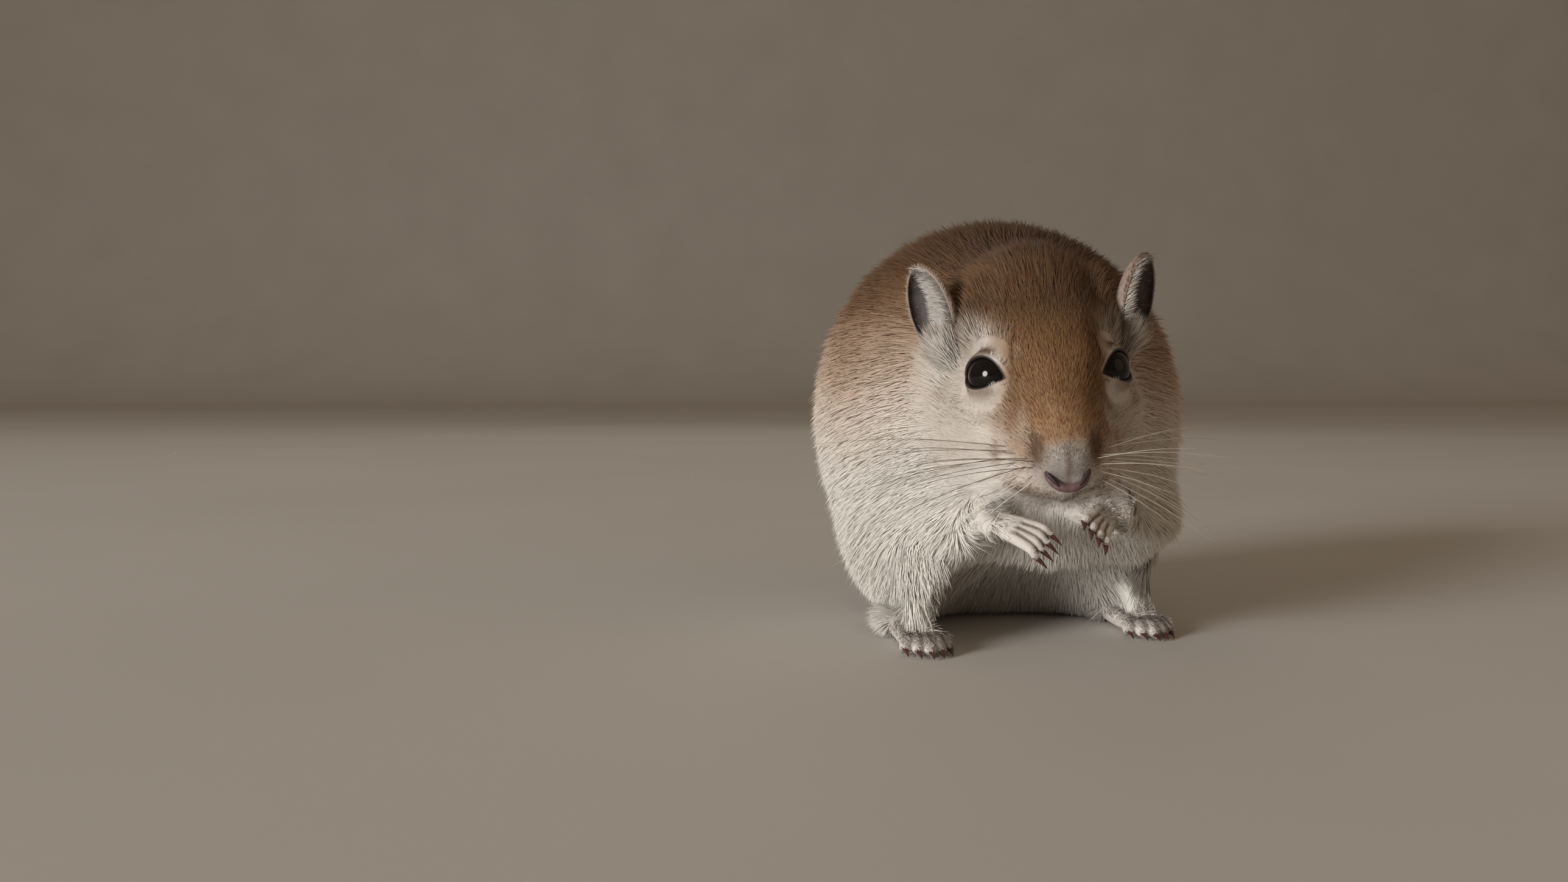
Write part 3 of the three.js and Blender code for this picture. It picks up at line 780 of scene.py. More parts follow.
def lid_edge(side, radius, count=40):
    """The almond edge of the lids, on a ball of the given radius round the eye."""
    sign = SIDES[side]
    length, height = EYE_OPENING
    corners = [(-length / 2, -height * 0.1), (length / 2, height * 0.3)]
    upper = [(-length * 0.27, height * 0.42), (length * 0.2, height * 0.66)]
    lower = [(length * 0.52, -height * 0.36), (-length * 0.12, -height * 0.92)]
    out = (BROW_TURN @ Vector((0.7 * sign, -0.7, 0.14))).normalized()
    rear = BROW_TURN @ Vector((0.65 * sign, 0.7, 0.3))
    rear = (rear - out * rear.dot(out)).normalized()
    up = rear.cross(out) * sign
    points = []
    for i in range(count):
        share = 2 * i / count
        ends = (corners[0], *upper, corners[1]) if share < 1 else (corners[1], *lower, corners[0])
        part = share % 1
        rest = 1 - part
        weights = (rest ** 3, 3 * part * rest ** 2, 3 * part * part * rest, part ** 3)
        x = sum(weight * end[0] for weight, end in zip(weights, ends))
        y = sum(weight * end[1] for weight, end in zip(weights, ends))
        angle = math.hypot(x, y) / (EYE_RADIUS + LID_GAP)
        sideways = (rear * x + up * y).normalized()
        direction = out * math.cos(angle) + sideways * math.sin(angle)
        points.append(eye_places[side] + direction * radius)
    return points


def lid_cutter(side):
    """A cone from the middle of the eye through the edge of the lids."""
    verts = []
    faces = []
    shares = (0.5, 1.0, 1.9)
    for share in shares:
        ring = lid_edge(side, share * EYE_RADIUS)
        verts += ring
    count = len(ring)
    for level in range(len(shares) - 1):
        for i in range(count):
            here = level * count + i
            beside = level * count + (i + 1) % count
            faces.append((here, beside, beside + count, here + count))
    faces.append(tuple(range(count)))
    faces.append(tuple(range((len(shares) - 1) * count, len(shares) * count)))
    mesh = bpy.data.meshes.new("lid_cutter")
    mesh.from_pydata([Vector(place) * MM for place in verts], [], faces)
    piece = add_object("lid_cutter", mesh)
    make_active(piece)
    bpy.ops.object.mode_set(mode="EDIT")
    bpy.ops.mesh.select_all(action="SELECT")
    bpy.ops.mesh.normals_make_consistent(inside=False)
    bpy.ops.object.mode_set(mode="OBJECT")
    return piece


def melt(piece, voxel):
    """Fuses the piece's overlapping shells into one even mesh."""
    add_modifier(piece, "REMESH", mode="VOXEL", voxel_size=voxel * MM, use_smooth_shade=True)
    apply_modifiers(piece)


def swell(mesh, depth, steps):
    """Moves the surface outwards by a depth that differs from place to place, and less where it rests."""
    places = vertex_places(mesh)
    step = depth(places)[:, None] / steps
    for _ in range(steps):
        lift = 0.15 + 0.85 * smooth_step(0.0, 5.0, places[:, 2])
        shift = vertex_normals(mesh) * step
        shift[:, 2] *= lift
        places = soften(mesh, places + shift, 1, 0.3)
        places[:, 2] = np.maximum(places[:, 2], SKIN_FLOOR)
        set_places(mesh, places)


def calm_body(places):
    """1 on the broad body, falling to 0 at the face, the forearms, the shins and the tail."""
    share = (1 - faceness(places)) * fade(14, 20, places[:, 1])
    for side in SIDES:
        share *= smooth_step(4, 9, near_segment(places, *arm_end(side, 3)))
        share *= smooth_step(5, 9, near_segment(places, *shin_line(side)))
        share *= smooth_step(3, 7, near_segment(places, *ear_line(side)))
    return share[:, None]


def gather_flesh():
    """The solids' flesh with what rounds it off, as one piece of overlapping shells."""
    parts = [flesh_copy(node) for node in TRUNK_NODES]
    for side in SIDES:
        parts.append(ball("lid_bulge", eye_places[side], (EYE_RADIUS + LID_SWELL,) * 3))
    for name, (middle, radii) in FILLINGS.items():
        parts.append(ball("filling_" + name, middle, radii))
    for side, forward in EAR_TUFT_FORWARD.items():
        root, _, long, opening = ear_front(side)
        parts.append(ball("ear_tuft", root + long * 2.0 + opening * forward, (EAR_TUFT_RADIUS,) * 3))
    parts.append(ball("lips", on_head(*LIPS_MIDDLE), LIPS_RADII, HEAD_TURN))
    parts.append(tube("tail_flesh", TAIL_ROUTE, TAIL_RADII))
    for x, y in TOES.values():
        route = [(x, y + 11, 15), (x, y + 6, 9), (x, y + 3, 4), (x, y, 1.5)]
        parts.append(tube("shin_flesh", route, SHIN_RADII))
    return join_pieces(parts, "skin")


def make_trunk():
    """Body, head, legs and tail as one closed skin, sunk under the tips of the coat."""
    trunk = gather_flesh()
    mesh = trunk.data
    melt(trunk, SKIN_VOXEL)
    set_places(mesh, soften(mesh, vertex_places(mesh), 3))
    swell(mesh, crease_fill, SWELL_STEPS)
    melt(trunk, SKIN_VOXEL)
    swell(mesh, lambda places: -coat_depth(places) - crease_fill(places), SINK_STEPS)
    places = vertex_places(mesh)
    set_places(mesh, blend(places, soften(mesh, places, CALM_ROUNDS), calm_body(places)))
    for side in SIDES:
        cutter = lid_cutter(side)
        add_modifier(trunk, "BOOLEAN", operation="DIFFERENCE", solver="EXACT", object=cutter)
        apply_modifiers(trunk)
        bpy.data.objects.remove(cutter)
    smooth_shade(trunk)
    return trunk


def hand_axes(side):
    wrist = Vector(WRIST[side])
    knuckle = Vector(KNUCKLES[side])
    along = (knuckle - wrist).normalized()
    back = Vector(HAND_BACK[side])
    back = (back - along * back.dot(along)).normalized()
    return wrist, knuckle, along, back, along.cross(back)


def finger_lines(side):
    """The middle lines of a hand's four fingers, from inside the wrist to the fingertips."""
    wrist, knuckle, along, back, across = hand_axes(side)
    reach = Vector(CLAW_TIPS[side]) - knuckle
    lines = []
    for i in range(4):
        spread = (i - 1.5) * FINGER_SPACING
        shorter = 0.9 - 0.12 * abs(i - 1.4)
        root = wrist - along * 1.5 + across * spread * 0.45
        palm = wrist.lerp(knuckle, 0.5) + across * spread * 0.75 + back * 0.25
        joint = knuckle + across * spread + back * 0.35
        end = knuckle + across * spread * 1.15 + reach * 0.52 * shorter
        bend = joint.lerp(end, 0.55) + back * 0.45
        lines.append([root, palm, joint, bend, end])
    return lines, reach.normalized(), back


def toe_lines(side):
    """The middle lines of a hind foot's five toes, from the heel to the toe tips."""
    sign = SIDES[side]
    x, y = TOES[side]
    heel = Vector((x + 0.6 * sign, y + FOOT_LENGTH * 0.7, 2.2))
    lines = []
    for i in range(5):
        fan = i - 2
        length = 5.6 - 0.75 * abs(fan) ** 1.6
        root = heel + Vector((0.35 * fan, 0, 0))
        sole = Vector((x + 0.8 * fan, y + 8, 1.9))
        joint = Vector((x + 1.2 * fan, y + 0.5, 1.7))
        end = Vector((x + 1.62 * fan, y - length, 0.95))
        bend = joint.lerp(end, 0.5) + Vector((0, 0, 0.75))
        lines.append([root, sole, joint, bend, end])
    return lines


def make_limb_end(name, lines, radii, voxel):
    """A hand or foot: its fingers or toes melted into one form."""
    parts = [tube(name, line, radii) for line in lines]
    piece = join_pieces(parts, name)
    melt(piece, voxel)
    places = soften(piece.data, vertex_places(piece.data), 2)
    places[:, 2] = np.maximum(places[:, 2], PAW_FLOOR)
    set_places(piece.data, places)
    smooth_shade(piece)
    return piece


def claw_line(end, direction, over, length):
    tip = end + direction * length - over * 0.55
    crook = end.lerp(tip, 0.5) + over * 0.3
    return [end - direction * 0.3, crook, tip]


def make_claws(name, lines, finish):
    """Curved tapering claws, one at the end of each finger or toe."""
    parts = [tube(name, line, CLAW_RADII, sides=12) for line in lines]
    claws = join_pieces(parts, name)
    smooth_shade(claws)
    set_material(claws, finish)
    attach(claws, "root")


def make_skin(claw_finish):
    """The whole skin, with the claws set on its hands and feet."""
    forward = Vector((0.04, -1, -0.1))
    upward = Vector((0, 0, 1))
    shells = [make_trunk()]
    for side in SIDES:
        lines, reach, back = finger_lines(side)
        shells.append(make_limb_end("hand", lines, FINGER_RADII, HAND_VOXEL))
        claws = [claw_line(line[-1], reach, back, FINGER_CLAW) for line in lines]
        make_claws("claws_hand_" + side, claws, claw_finish)
        lines = toe_lines(side)
        shells.append(make_limb_end("foot", lines, TOE_RADII, FOOT_VOXEL))
        claws = [claw_line(line[-1], forward, upward, TOE_CLAW) for line in lines]
        make_claws("claws_foot_" + side, claws, claw_finish)
    return join_pieces(shells, "skin")


stand_camera()
light_scene()
lay_floor()

skin_finish = skin_material()
fur_finish = fur_material("fur")
dark_claw = plain_material("dark_claw", (0.05, 0.016, 0.014), (0.11, 0.035, 0.03), 0.3, coat=0.4)
skin = make_skin(dark_claw)
set_material(skin, skin_finish)
unwrap(skin)
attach(skin, "root")
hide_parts(*TRUNK_NODES, *LIMB_NODES)


# Eyes

def make_eye(side, finish):
    eye = ball("eye_ball_" + side, eye_places[side], (EYE_RADIUS,) * 3, BROW_TURN, segments=64)
    smooth_shade(eye)
    set_material(eye, finish)
    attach(eye, "root")
    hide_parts("eye_" + side)


def make_lid_rim(side, finish):
    """A thin dark cord round the opening of the lids, whose ends overlap."""
    ring = lid_edge(side, EYE_RADIUS + LID_RIM_LIFT)
    route = ring + ring[:2]
    rim = tube("lid_rim_" + side, route, [LID_RIM] * len(route), sides=8)
    smooth_shade(rim)
    set_material(rim, finish)
    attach(rim, "root")


eye_finish = plain_material("wet_eye", (0.004, 0.003, 0.003), (0.008, 0.006, 0.005), 0.07,
                            bump=0.0, specular=0.3)
rim_finish = plain_material("dark_lid_skin", (0.02, 0.015, 0.014), (0.04, 0.03, 0.028), 0.35)
for side in SIDES:
    make_eye(side, eye_finish)
    make_lid_rim(side, rim_finish)


# Nose

def make_nose(finish, shade_finish):
    """The bare rim under the nose, with dark tubes in its two slits that paint the shade inside them."""
    rim = tube("nose_rim", [on_head(*place) for place in NOSE_RIM], NOSE_RIM_RADII)
    smooth_shade(rim)
    set_material(rim, finish)
    shade_tubes = []
    for sign in SIDES.values():
        line = [on_head(x * sign, y, z) for x, y, z in NOSTRIL]
        shade_tubes.append(tube("nostril_shade_tubes", line, NOSTRIL_RADII))
    shade_tubes = join_pieces(shade_tubes, "nostril_shade_tubes")
    smooth_shade(shade_tubes)
    set_material(shade_tubes, shade_finish)
    for piece in (rim, shade_tubes):
        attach(piece, "root")


nose_finish = plain_material("nose_skin", (0.12, 0.07, 0.07), (0.2, 0.12, 0.12), 0.6,
                             scale=900, bump=0.6, specular=0.25)
# Nearly black: the painted shade inside the nostrils.
nostril_shade_finish = plain_material("nostril_painted_shade", (0.03, 0.02, 0.02), (0.05, 0.03, 0.03), 0.6)
make_nose(nose_finish, nostril_shade_finish)


# Ears

def shape_ear(side):
    """Half a ball, drawn out to the size of the ear and turned to its place."""
    middle, turn = ear_axes(side)
    ear = ball("ear_shell_" + side, (0, 0, 0), (1, 1, 1), segments=48)
    make_active(ear)
    bpy.ops.object.mode_set(mode="EDIT")
    bpy.ops.mesh.select_all(action="SELECT")
    bpy.ops.mesh.bisect(plane_co=(0, 0, 0.2 * MM), plane_no=(0, 0, 1), clear_outer=True)
    bpy.ops.object.mode_set(mode="OBJECT")
    places = vertex_places(ear.data)
    height = places[:, 1]
    taper = np.where(height > 0, 1, 1 - 0.45 * height * height)
    places[:, 0] *= taper * EAR_WIDTH / 2
    places[:, 1] *= EAR_LENGTH / 2
    places[:, 2] *= taper * EAR_DEPTH
    set_places(ear.data, places @ np.array(turn).T + np.array(middle))
    return ear


def make_ear(side, finish):
    """A thin cup of skin with a rounded brim."""
    ear = shape_ear(side)
    add_modifier(ear, "SOLIDIFY", thickness=EAR_WALL * MM, offset=-1)
    add_modifier(ear, "SUBSURF", levels=1, render_levels=1)
    apply_modifiers(ear)
    smooth_shade(ear)
    middle, turn = ear_axes(side)
    local = (vertex_places(ear.data) - np.array(middle)) @ np.array(turn)
    half_size = np.array([EAR_WIDTH / 2, EAR_LENGTH / 2, EAR_DEPTH])
    # How deep each place lies within the cup, which sets how much painted shade it gets.
    cup_shade = 1 - np.linalg.norm(local / half_size, axis=1)
    add_number(ear.data, "cup_shade", smooth_step(0.02, 0.09, cup_shade))
    unwrap(ear)
    set_material(ear, finish)
    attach(ear, "root")
    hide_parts("ear_" + side)
    return ear


def ear_material():
    """Pinkish grey outside, with painted shade dark within the cup."""
    material, tree, shader = new_material("ear_skin")
    grain = noise(tree, 700)
    share = map_range(tree, grain, 0.35, 0.65)
    outside = mix_colour(tree, share, (0.3, 0.22, 0.18), (0.38, 0.29, 0.24))
    # Nearly black: the painted shade in the ear's hollow.
    inside = mix_colour(tree, share, (0.05, 0.04, 0.036), (0.09, 0.073, 0.068))
    colour = mix_colour(tree, attribute_of(tree, "cup_shade"), outside, inside)
    tree.links.new(colour, shader.inputs["Base Color"])
    shader.inputs["Roughness"].default_value = 0.6
    add_bump(tree, shader, grain, 0.3, 0.0001)
    return material


ear_finish = ear_material()
ears = {side: make_ear(side, ear_finish) for side in SIDES}


# Coat

def surface_of(mesh, even=False):
    """A mesh's triangles with their places, normals and places in the bake map, in millimetres.

    With even, the normals of the body pass over its small folds."""
    mesh.calc_loop_triangles()
    count = len(mesh.loop_triangles)
    corners = np.empty(count * 3, np.int64)
    loops = np.empty(count * 3, np.int64)
    mesh.loop_triangles.foreach_get("vertices", corners)
    mesh.loop_triangles.foreach_get("loops", loops)
    corners = corners.reshape(-1, 3)
    flat = np.empty(len(mesh.loops) * 2)
    mesh.uv_layers["OFBake"].data.foreach_get("uv", flat)
    places = vertex_places(mesh)
    normals = vertex_normals(mesh)
    if even:
        calm = 1 - np.maximum(faceness(places), on_digits(places))[:, None]
        calm *= fade(18, 26, places[:, 1])[:, None]
        normals = unit(blend(normals, unit(soften(mesh, normals, 60, 0.6)), calm))
    first, second, third = (places[corners[:, i]] for i in range(3))
    return {"places": places[corners],
            "normals": normals[corners],
            "middle": (first + second + third) / 3,
            "flat": flat.reshape(-1, 2)[loops.reshape(-1, 3)],
            "area": np.linalg.norm(np.cross(second - first, third - first), axis=1) / 2}


def scatter(surface, weight, count, rng):
    """Hair roots on a surface, denser where the weight is larger: places, normals, places in the map."""
    chance = surface["area"] * weight
    chosen = rng.choice(len(chance), size=count, p=chance / chance.sum())
    mix = rng.dirichlet((1, 1, 1), size=count)[:, :, None]
    roots, out, flat = ((surface[key][chosen] * mix).sum(axis=1) for key in ("places", "normals", "flat"))
    return roots, unit(out), flat


def near_digits(places, lines):
    """How far each place lies from each finger or toe, the nearest first."""
    away = []
    for line in lines:
        stretches = [near_segment(places, line[i], line[i + 1]) for i in range(1, 4)]
        away.append(np.min(stretches, axis=0))
    return np.sort(np.array(away), axis=0)


def on_digits(places):
    """1 on the hands and feet, which have their own short hair."""
    share = np.zeros(len(places))
    for side in SIDES:
        hand = near_digits(places, finger_lines(side)[0])[0]
        foot = near_digits(places, toe_lines(side))[0]
        share = np.maximum(share, fade(1.25, 1.6, hand))
        share = np.maximum(share, fade(1.5, 2.0, foot))
    return share


def tail_middle(y):
    """The middle of the tail at each distance behind the body."""
    route = np.array(TAIL_ROUTE, float)
    return np.stack([np.interp(y, route[:, 1], route[:, axis]) for axis in range(3)], axis=1)


def lie_on_limbs(roots, lie, side):
    """Turns the hair of one side along the forearm, the shin, the hand and the front of the ear."""
    elbow, wrist = arm_end(side, 4)
    held = fade(3.5, 7, near_segment(roots, elbow, wrist))[:, None]
    lie = blend(lie, np.array((wrist - elbow).normalized()), held)
    held = fade(5, 8, near_segment(roots, *shin_line(side)))[:, None]
    lie = blend(lie, np.array([0, -0.45, -0.9]), held)
    hand = np.array((Vector(CLAW_TIPS[side]) - Vector(WRIST[side])).normalized())
    held = fade(4, 5, near_segment(roots, WRIST[side], CLAW_TIPS[side]))[:, None]
    lie = blend(lie, hand, held)
    root, tip, long, opening = ear_front(side)
    held = fade(3, 5, near_segment(roots, root + opening * 2, tip + opening * 2))[:, None]
    held *= smooth_step(-1, 1, (roots - np.array(root)) @ np.array(opening))[:, None]
    return blend(lie, np.array(long + opening * 0.2), held)


def lie_of_coat(roots, out):
    """The direction in which the hair lies: away from the nose, round the eyes and down the sides."""
    face = faceness(roots)[:, None]
    lie = unit(roots - NOSE) + (1 - face) * np.array([0, 0, -0.75])
    for side in SIDES:
        from_eye = roots - np.array(eye_places[side])
        distance = np.linalg.norm(from_eye, axis=1)[:, None]
        lie = lie + 3.2 * fade(4.2, 7.5, distance) * from_eye / distance
        lie = lie_on_limbs(roots, lie, side)
    toes = (on_digits(roots) * (roots[:, 2] < 8))[:, None]
    lie = blend(lie, np.array([0, -1, -0.15]), toes)
    along_tail = tail_middle(roots[:, 1] + 4) - tail_middle(roots[:, 1] - 4)
    tail = smooth_step(22, 28, roots[:, 1])[:, None]
    lie = blend(unit(lie), unit(along_tail + np.array([0, 0.01, 0])), tail)
    return unit(square_to(lie, out))


def hair_length(roots):
    """Short on the face and the limbs, long on the body and longest in the tail's brush."""
    x, y, _ = to_head(roots).T
    face = faceness(roots)
    on_face = np.interp(y, [-19, -15, -8, 0, 10], [0.8, 1.2, 1.9, 2.6, 4.0])
    on_face = on_face + 1.4 * smooth_step(5, 11, np.abs(x)) * smooth_step(-10, 2, y)
    body = 6.0 - 2.7 * smooth_step(14, 2, roots[:, 2])
    body *= 1 - 0.35 * smooth_step(26, 34, -roots[:, 1]) * (roots[:, 2] < 34)
    length = face * on_face + (1 - face) * body
    length = blend(length, 0.8, 1 - away_from_eyes(roots, 4.4, 7.0))
    for side, sign in SIDES.items():
        elbow = np.array([ELBOW[0] * sign, ELBOW[1], ELBOW[2]])
        length = blend(length, 3.6, fade(4, 10, np.linalg.norm(roots - elbow, axis=1)))
        length = blend(length, 1.4, fade(3.5, 8, near_segment(roots, *arm_end(side, 1))))
        length = blend(length, 4.2, fade(4, 8, near_segment(roots, *shin_line(side))))
    length = blend(length, 4.4, before_ears(roots))
    brush = 2.6 + 5.5 * smooth_step(84, 104, roots[:, 1])
    return blend(length, brush, smooth_step(20, 28, roots[:, 1]))


def hair_lines(roots, out, lie, length, rise, gather, cell, rng):
    """Start, bend and tip of each hair, with the tips of a tuft drawn a little together."""
    count = len(roots)
    jitter = rng.normal(size=(count, 3)) * HAIR_JITTER
    lean = unit(lie + jitter - out * (jitter * out).sum(axis=1)[:, None])
    rise = rise * (1 + RISE_SPREAD * rng.normal(size=count))
    length = length * (0.72 + 0.5 * rng.random(count))
    start = roots - out * ROOT_DEPTH
    low = lean * np.cos(rise * 1.5)[:, None] + out * np.sin(rise * 1.5)[:, None]
    high = lean * np.cos(rise)[:, None] + out * np.sin(rise)[:, None]
    bend = start + low * (length * 0.45)[:, None]
    tip = start + high * length[:, None]
    keys = np.floor((roots + 0.35 * ripple(roots, 3.1, 5)[:, None]) / cell).astype(np.int64)
    tuft = np.unique(keys @ np.array(CELL_PRIMES), return_inverse=True)[1]
    size = np.bincount(tuft)
    middle = np.stack([np.bincount(tuft, weights=tip[:, axis]) / size for axis in range(3)], axis=1)[tuft]
    tip = tip + (middle - tip) * (gather * rng.random(count))[:, None]
    return start, bend, tip, lean


def blade_rows(start, bend, tip, across, width):
    """The edges of all blades from root to tip, with each row's share of the length and its side."""
    rows = []
    along = []
    beside = []
    for share in np.linspace(0, 1, HAIR_SECTIONS + 1):
        line = (1 - share) ** 2 * start + 2 * share * (1 - share) * bend + share ** 2 * tip
        half = 0.5 * np.interp(share, [0, 0.4, 1], [0.8, 1.0, 0.0])
        for sign in ((-1, 1) if share < 1 else (0,)):
            rows.append(line + across * (sign * half * width)[:, None])
            along.append(share)
            beside.append(0.5 * sign)
    return rows, along, beside


def blade_mesh(name, rows):
    """A mesh of blades, each from the same number of points in rows from root to tip."""
    sections = HAIR_SECTIONS
    count = len(rows[0])
    points = len(rows)
    verts = np.stack(rows, axis=1).reshape(-1, 3)
    verts[:, 2] = np.maximum(verts[:, 2], HAIR_FLOOR)
    quads = [(2 * i, 2 * i + 1, 2 * i + 3, 2 * i + 2) for i in range(sections - 1)]
    tip_face = (2 * sections - 2, 2 * sections - 1, 2 * sections)
    pattern = np.array([corner for face in (*quads, tip_face) for corner in face])
    totals = np.tile(np.array([4] * len(quads) + [3]), count)
    loops = (np.arange(count)[:, None] * points + pattern).ravel()
    mesh = bpy.data.meshes.new(name)
    mesh.vertices.add(len(verts))
    mesh.vertices.foreach_set("co", (verts * MM).ravel())
    mesh.loops.add(len(loops))
    mesh.loops.foreach_set("vertex_index", loops)
    mesh.polygons.add(len(totals))
    mesh.polygons.foreach_set("loop_start", np.concatenate([[0], np.cumsum(totals)[:-1]]))
    mesh.polygons.foreach_set("loop_total", totals)
    mesh.polygons.foreach_set("use_smooth", np.ones(len(totals), bool))
    mesh.update(calc_edges=True)
    return mesh, loops


def blades(name, hairs, lie, length, width, rise, rng, marks, tick=0.0, gather=0.12, cell=1.6):
    """Thin tapered blades of hair that leave the skin at the roots and bend over along the lie."""
    roots, out, flat = hairs
    start, bend, tip, lean = hair_lines(roots, out, lie, length, rise, gather, cell, rng)
    roll = rng.normal(size=len(roots))[:, None] * 0.3
    across = unit(unit(np.cross(lean, out)) * np.cos(roll) + out * np.sin(roll))
    rows, along, beside = blade_rows(start, bend, tip, across, width)
    points = len(rows)
    mesh, loops = blade_mesh(name, rows)
    facing = unit(np.cross(across, tip - start))
    facing *= np.sign((facing * out).sum(axis=1))[:, None]
    normals = unit(0.8 * out + 0.2 * facing)
    mesh.normals_split_custom_set_from_vertices(np.repeat(normals, points, axis=0))
    add_number(mesh, "along", np.tile(along, len(roots)))
    add_number(mesh, "tone", np.repeat(rng.random(len(roots)), points))
    add_number(mesh, "tick", np.repeat((rng.random(len(roots)) < tick).astype(float), points))
    for mark, values in marks.items():
        add_number(mesh, mark, np.repeat(values, points))
    patch = np.stack([beside, np.array(along) - 0.5], axis=1) * PATCH
    spots = (flat[:, None, :] + patch).reshape(-1, 2)
    mesh.uv_layers.new(name="OFBake").data.foreach_set("uv", spots[loops].ravel())
    piece = add_object(name, mesh)
    set_material(piece, fur_finish)
    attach(piece, "root")
    return piece


def bare_nose(places):
    """1 on the bare rim of the nose."""
    x, y, z = to_head(places).T
    arc = -6.3 + 1.9 * (np.abs(x) / 3.5) ** 2
    on_arc = fade(0.35, 0.6, np.abs(z - arc))
    return on_arc * (y < -16.6) * (np.abs(x) < 3.2)


def coat_plans(surface):
    """For each piece of the coat: its name, where it grows, how many hairs, their width and their rise."""
    middle = surface["middle"]
    y = middle[:, 1]
    face = faceness(middle)
    free = 1 - on_digits(middle)
    off_lids = away_from_eyes(middle, EYE_RADIUS + 0.6, EYE_RADIUS + 0.65)
    on_face = face * free * (1 - bare_nose(middle)) * off_lids
    left = to_head(middle)[:, 0] > 0
    plans = [("coat_face_right", on_face * ~left, FACE_HAIRS, 0.12, 0.24),
             ("coat_face_left", on_face * left, FACE_HAIRS, 0.12, 0.24)]
    for i, (front, rear) in enumerate(zip(BODY_BANDS, BODY_BANDS[1:])):
        band = (y > front) * (y <= rear)
        plans.append((f"coat_body_{i + 1}", (1 - face) * free * band, BODY_HAIRS, 0.2, 0.22))
    on_tail = (y > 22) * (y < 113) * (1 + 3 * smooth_step(88, 104, y))
    plans.append(("coat_tail", on_tail, TAIL_HAIRS, 0.2, 0.2))
    return plans


def grow_coat():
    """The coat of the face, the body and the tail, in pieces of a size that a part may have."""
    rng = np.random.default_rng(SEED)
    surface = surface_of(skin.data, even=True)
    for name, weight, count, width, rise in coat_plans(surface):
        hairs = scatter(surface, weight, count, rng)
        roots, out, _ = hairs
        marks = markings(roots)
        length = hair_length(roots)
        each = width * (0.8 + 0.25 * length / 6.0) * (0.8 + 0.4 * rng.random(count))
        on_nose = smooth_step(-13.5, -16, to_head(roots)[:, 1]) * faceness(roots)
        tick = 0.28 * smooth_step(0.25, 1.0, marks["buff"]) + 0.35 * on_nose
        marks["grey"] = marks["grey"] * (1 - on_nose * rng.random(count))
        lifted = np.full(count, rise) + 0.3 * before_ears(roots)
        piece = blades(name, hairs, lie_of_coat(roots, out), length, each, lifted, rng, marks, tick)


def paw_markings(places):
    """White paws, with painted shade dark between the fingers."""
    grey = np.full(len(places), 0.06)
    brown = np.zeros(len(places))
    for side in SIDES:
        wrist, _, along, _, _ = hand_axes(side)
        near = near_digits(places, finger_lines(side)[0])
        # Painted shade in the gaps between the fingers, on their skin and their hair.
        finger_gap_shade = fade(0.12, 0.42, near[1] - near[0])
        finger_gap_shade *= smooth_step(1.0, 2.0, (places - np.array(wrist)) @ np.array(along))
        brown = np.maximum(brown, 0.85 * finger_gap_shade * (near[0] < 1.6))
        end = fade(1.2, 2.6, np.linalg.norm(places - np.array(CLAW_TIPS[side]), axis=1))
        brown = np.maximum(brown, 0.3 * end)
    return {"buff": np.zeros(len(places)),
            "brown": brown,
            "grey": grey,
            "pink": np.full(len(places), 0.12)}


def mark_skin():
    """Gives the skin the same markings as the coat above it."""
    places = vertex_places(skin.data)
    paws = on_digits(places)
    bare = paw_markings(places)
    marks = markings(places)
    lids = 1 - away_from_eyes(places, EYE_RADIUS + 0.45, EYE_RADIUS + 0.85)
    marks["brown"] = np.maximum(marks["brown"], lids)
    for mark, values in marks.items():
        add_number(skin.data, mark, blend(values, bare[mark], paws))


def grow_paws():
    """Short white hair on the hands and feet."""
    rng = np.random.default_rng(SEED + 1)
    surface = surface_of(skin.data)
    digits = on_digits(surface["middle"])
    height = surface["middle"][:, 2]
    plans = [("coat_hands", digits * (height > 9), PAW_HAIRS, 0.65, 0.11, 0.2),
             ("coat_feet", digits * (height < 9), PAW_HAIRS, 1.0, 0.16, 0.16)]
    for name, weight, count, length, width, rise in plans:
        hairs = scatter(surface, weight, count, rng)
        roots, out, _ = hairs
        longer = 2.0 * smooth_step(1.5, 3.2, roots[:, 2]) * (roots[:, 2] < 9)
        piece = blades(name, hairs, lie_of_coat(roots, out), length + longer, np.full(count, width),
                       np.full(count, rise), rng, paw_markings(roots), gather=0.1, cell=0.7)


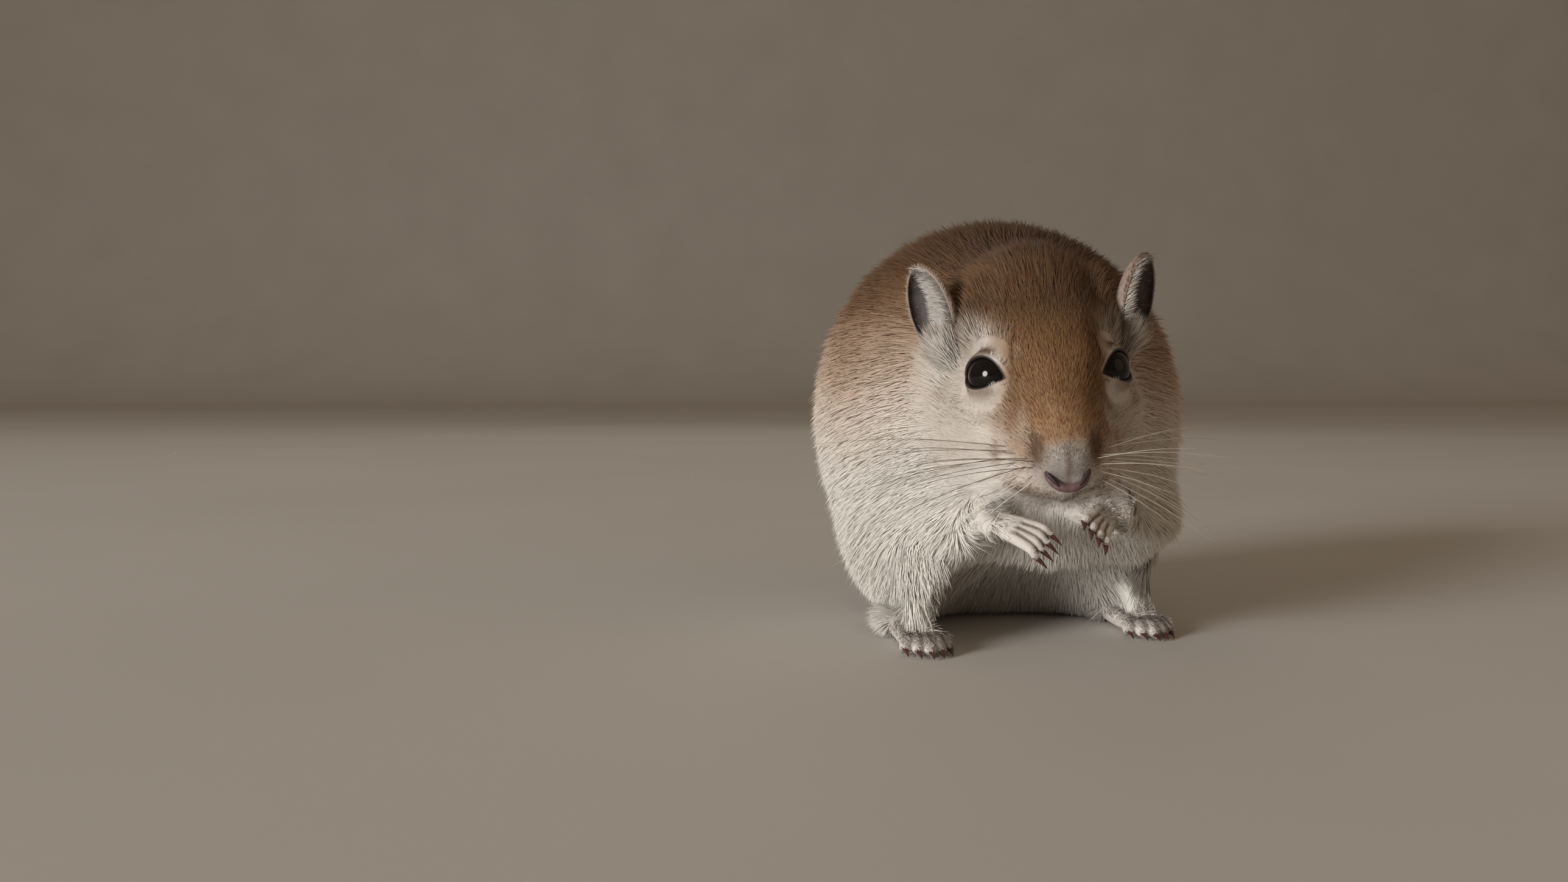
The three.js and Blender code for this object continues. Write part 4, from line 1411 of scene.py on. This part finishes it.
def grow_ears():
    """Fine hair on the backs of the ears, along the brim and across the inner half of the cup."""
    for side, sign in SIDES.items():
        rng = np.random.default_rng(SEED + 2)
        middle, turn = ear_axes(side)
        turn = np.array(turn)
        roots, out, flat = scatter(surface_of(ears[side].data), 1.0, EAR_HAIRS, rng)
        local = (roots - np.array(middle)) @ turn
        within = ((out @ turn) * local).sum(axis=1) < 0
        inner_half = smooth_step(-2.3, 0.0, -sign * local[:, 0] - 0.14 * local[:, 1])
        keep = ~within | (rng.random(len(roots)) < 0.02 + 0.6 * inner_half)
        roots, out, flat, local = roots[keep], out[keep], flat[keep], local[keep]
        within, inner_half = within[keep], inner_half[keep]
        lie_outside = np.array([0, 1.0, 0]) + local * np.array([0.25, 0, 0])
        lie = np.where(within[:, None], np.array([sign * 0.9, 0.5, 0.35]), lie_outside) @ turn.T
        lie = unit(square_to(lie, out))
        length = np.where(within, 0.8 + 1.5 * inner_half, 0.9)
        rise = np.where(within, 0.5, 0.2)
        marks = {"buff": np.where(within, 0.0, 0.55),
                 "brown": np.where(within, 0.0, 0.35),
                 "grey": np.where(within, 0.45, 0.4),
                 "pink": np.zeros(len(roots))}
        piece = blades("coat_ear_" + side, (roots, out, flat), lie, length, np.full(len(roots), 0.1),
                       rise, rng, marks, 0.1, gather=0.45, cell=0.8)


def make_whiskers(name, lines, finish):
    parts = [tube(name, line, WHISKER_RADII, sides=4) for line in lines]
    whiskers = join_pieces(parts, name)
    smooth_shade(whiskers)
    set_material(whiskers, finish)
    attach(whiskers, "root")


def grow_whiskers(pale, dark):
    """Long tapering whiskers that fan out sideways from the pads beside the nose."""
    rng = np.random.default_rng(SEED + 3)
    lines = {"pale": [], "dark": []}
    for sign in SIDES.values():
        for row in range(WHISKER_ROWS):
            for column in range(WHISKER_COLUMNS):
                start = on_head(sign * (3.6 + 0.3 * column), -16.0 + 0.8 * column, -3.6 - 0.9 * row)
                fan = math.radians(9 - 11 * row + 5 * rng.normal())
                back = math.radians(6 + 8 * column + 5 * rng.normal())
                length = (17 + 5.0 * column - 1.2 * row) * (0.85 + 0.3 * rng.random())
                direction = BROW_TURN @ Vector((sign * math.cos(back) * math.cos(fan),
                                                math.sin(back) * math.cos(fan), math.sin(fan)))
                sweep = BROW_TURN @ Vector((0, 0.12 * length, 0))
                line = []
                for share in (-0.06, 0.35, 0.7, 1.0):
                    droop = Vector((0, 0, -0.14 * length * share * share))
                    line.append(start + direction * length * share + droop + sweep * share * share)
                shade = "dark" if row < 2 and sign < 0 else "pale"
                lines[shade].append(line)
    make_whiskers("whiskers_pale", lines["pale"], pale)
    make_whiskers("whiskers_dark", lines["dark"], dark)


mark_skin()
grow_coat()
grow_paws()
grow_ears()
pale_whisker = plain_material("pale_whisker", (0.62, 0.56, 0.48), (0.75, 0.7, 0.62), 0.35)
dark_whisker = plain_material("dark_whisker", (0.10, 0.07, 0.05), (0.2, 0.15, 0.11), 0.35)
grow_whiskers(pale_whisker, dark_whisker)
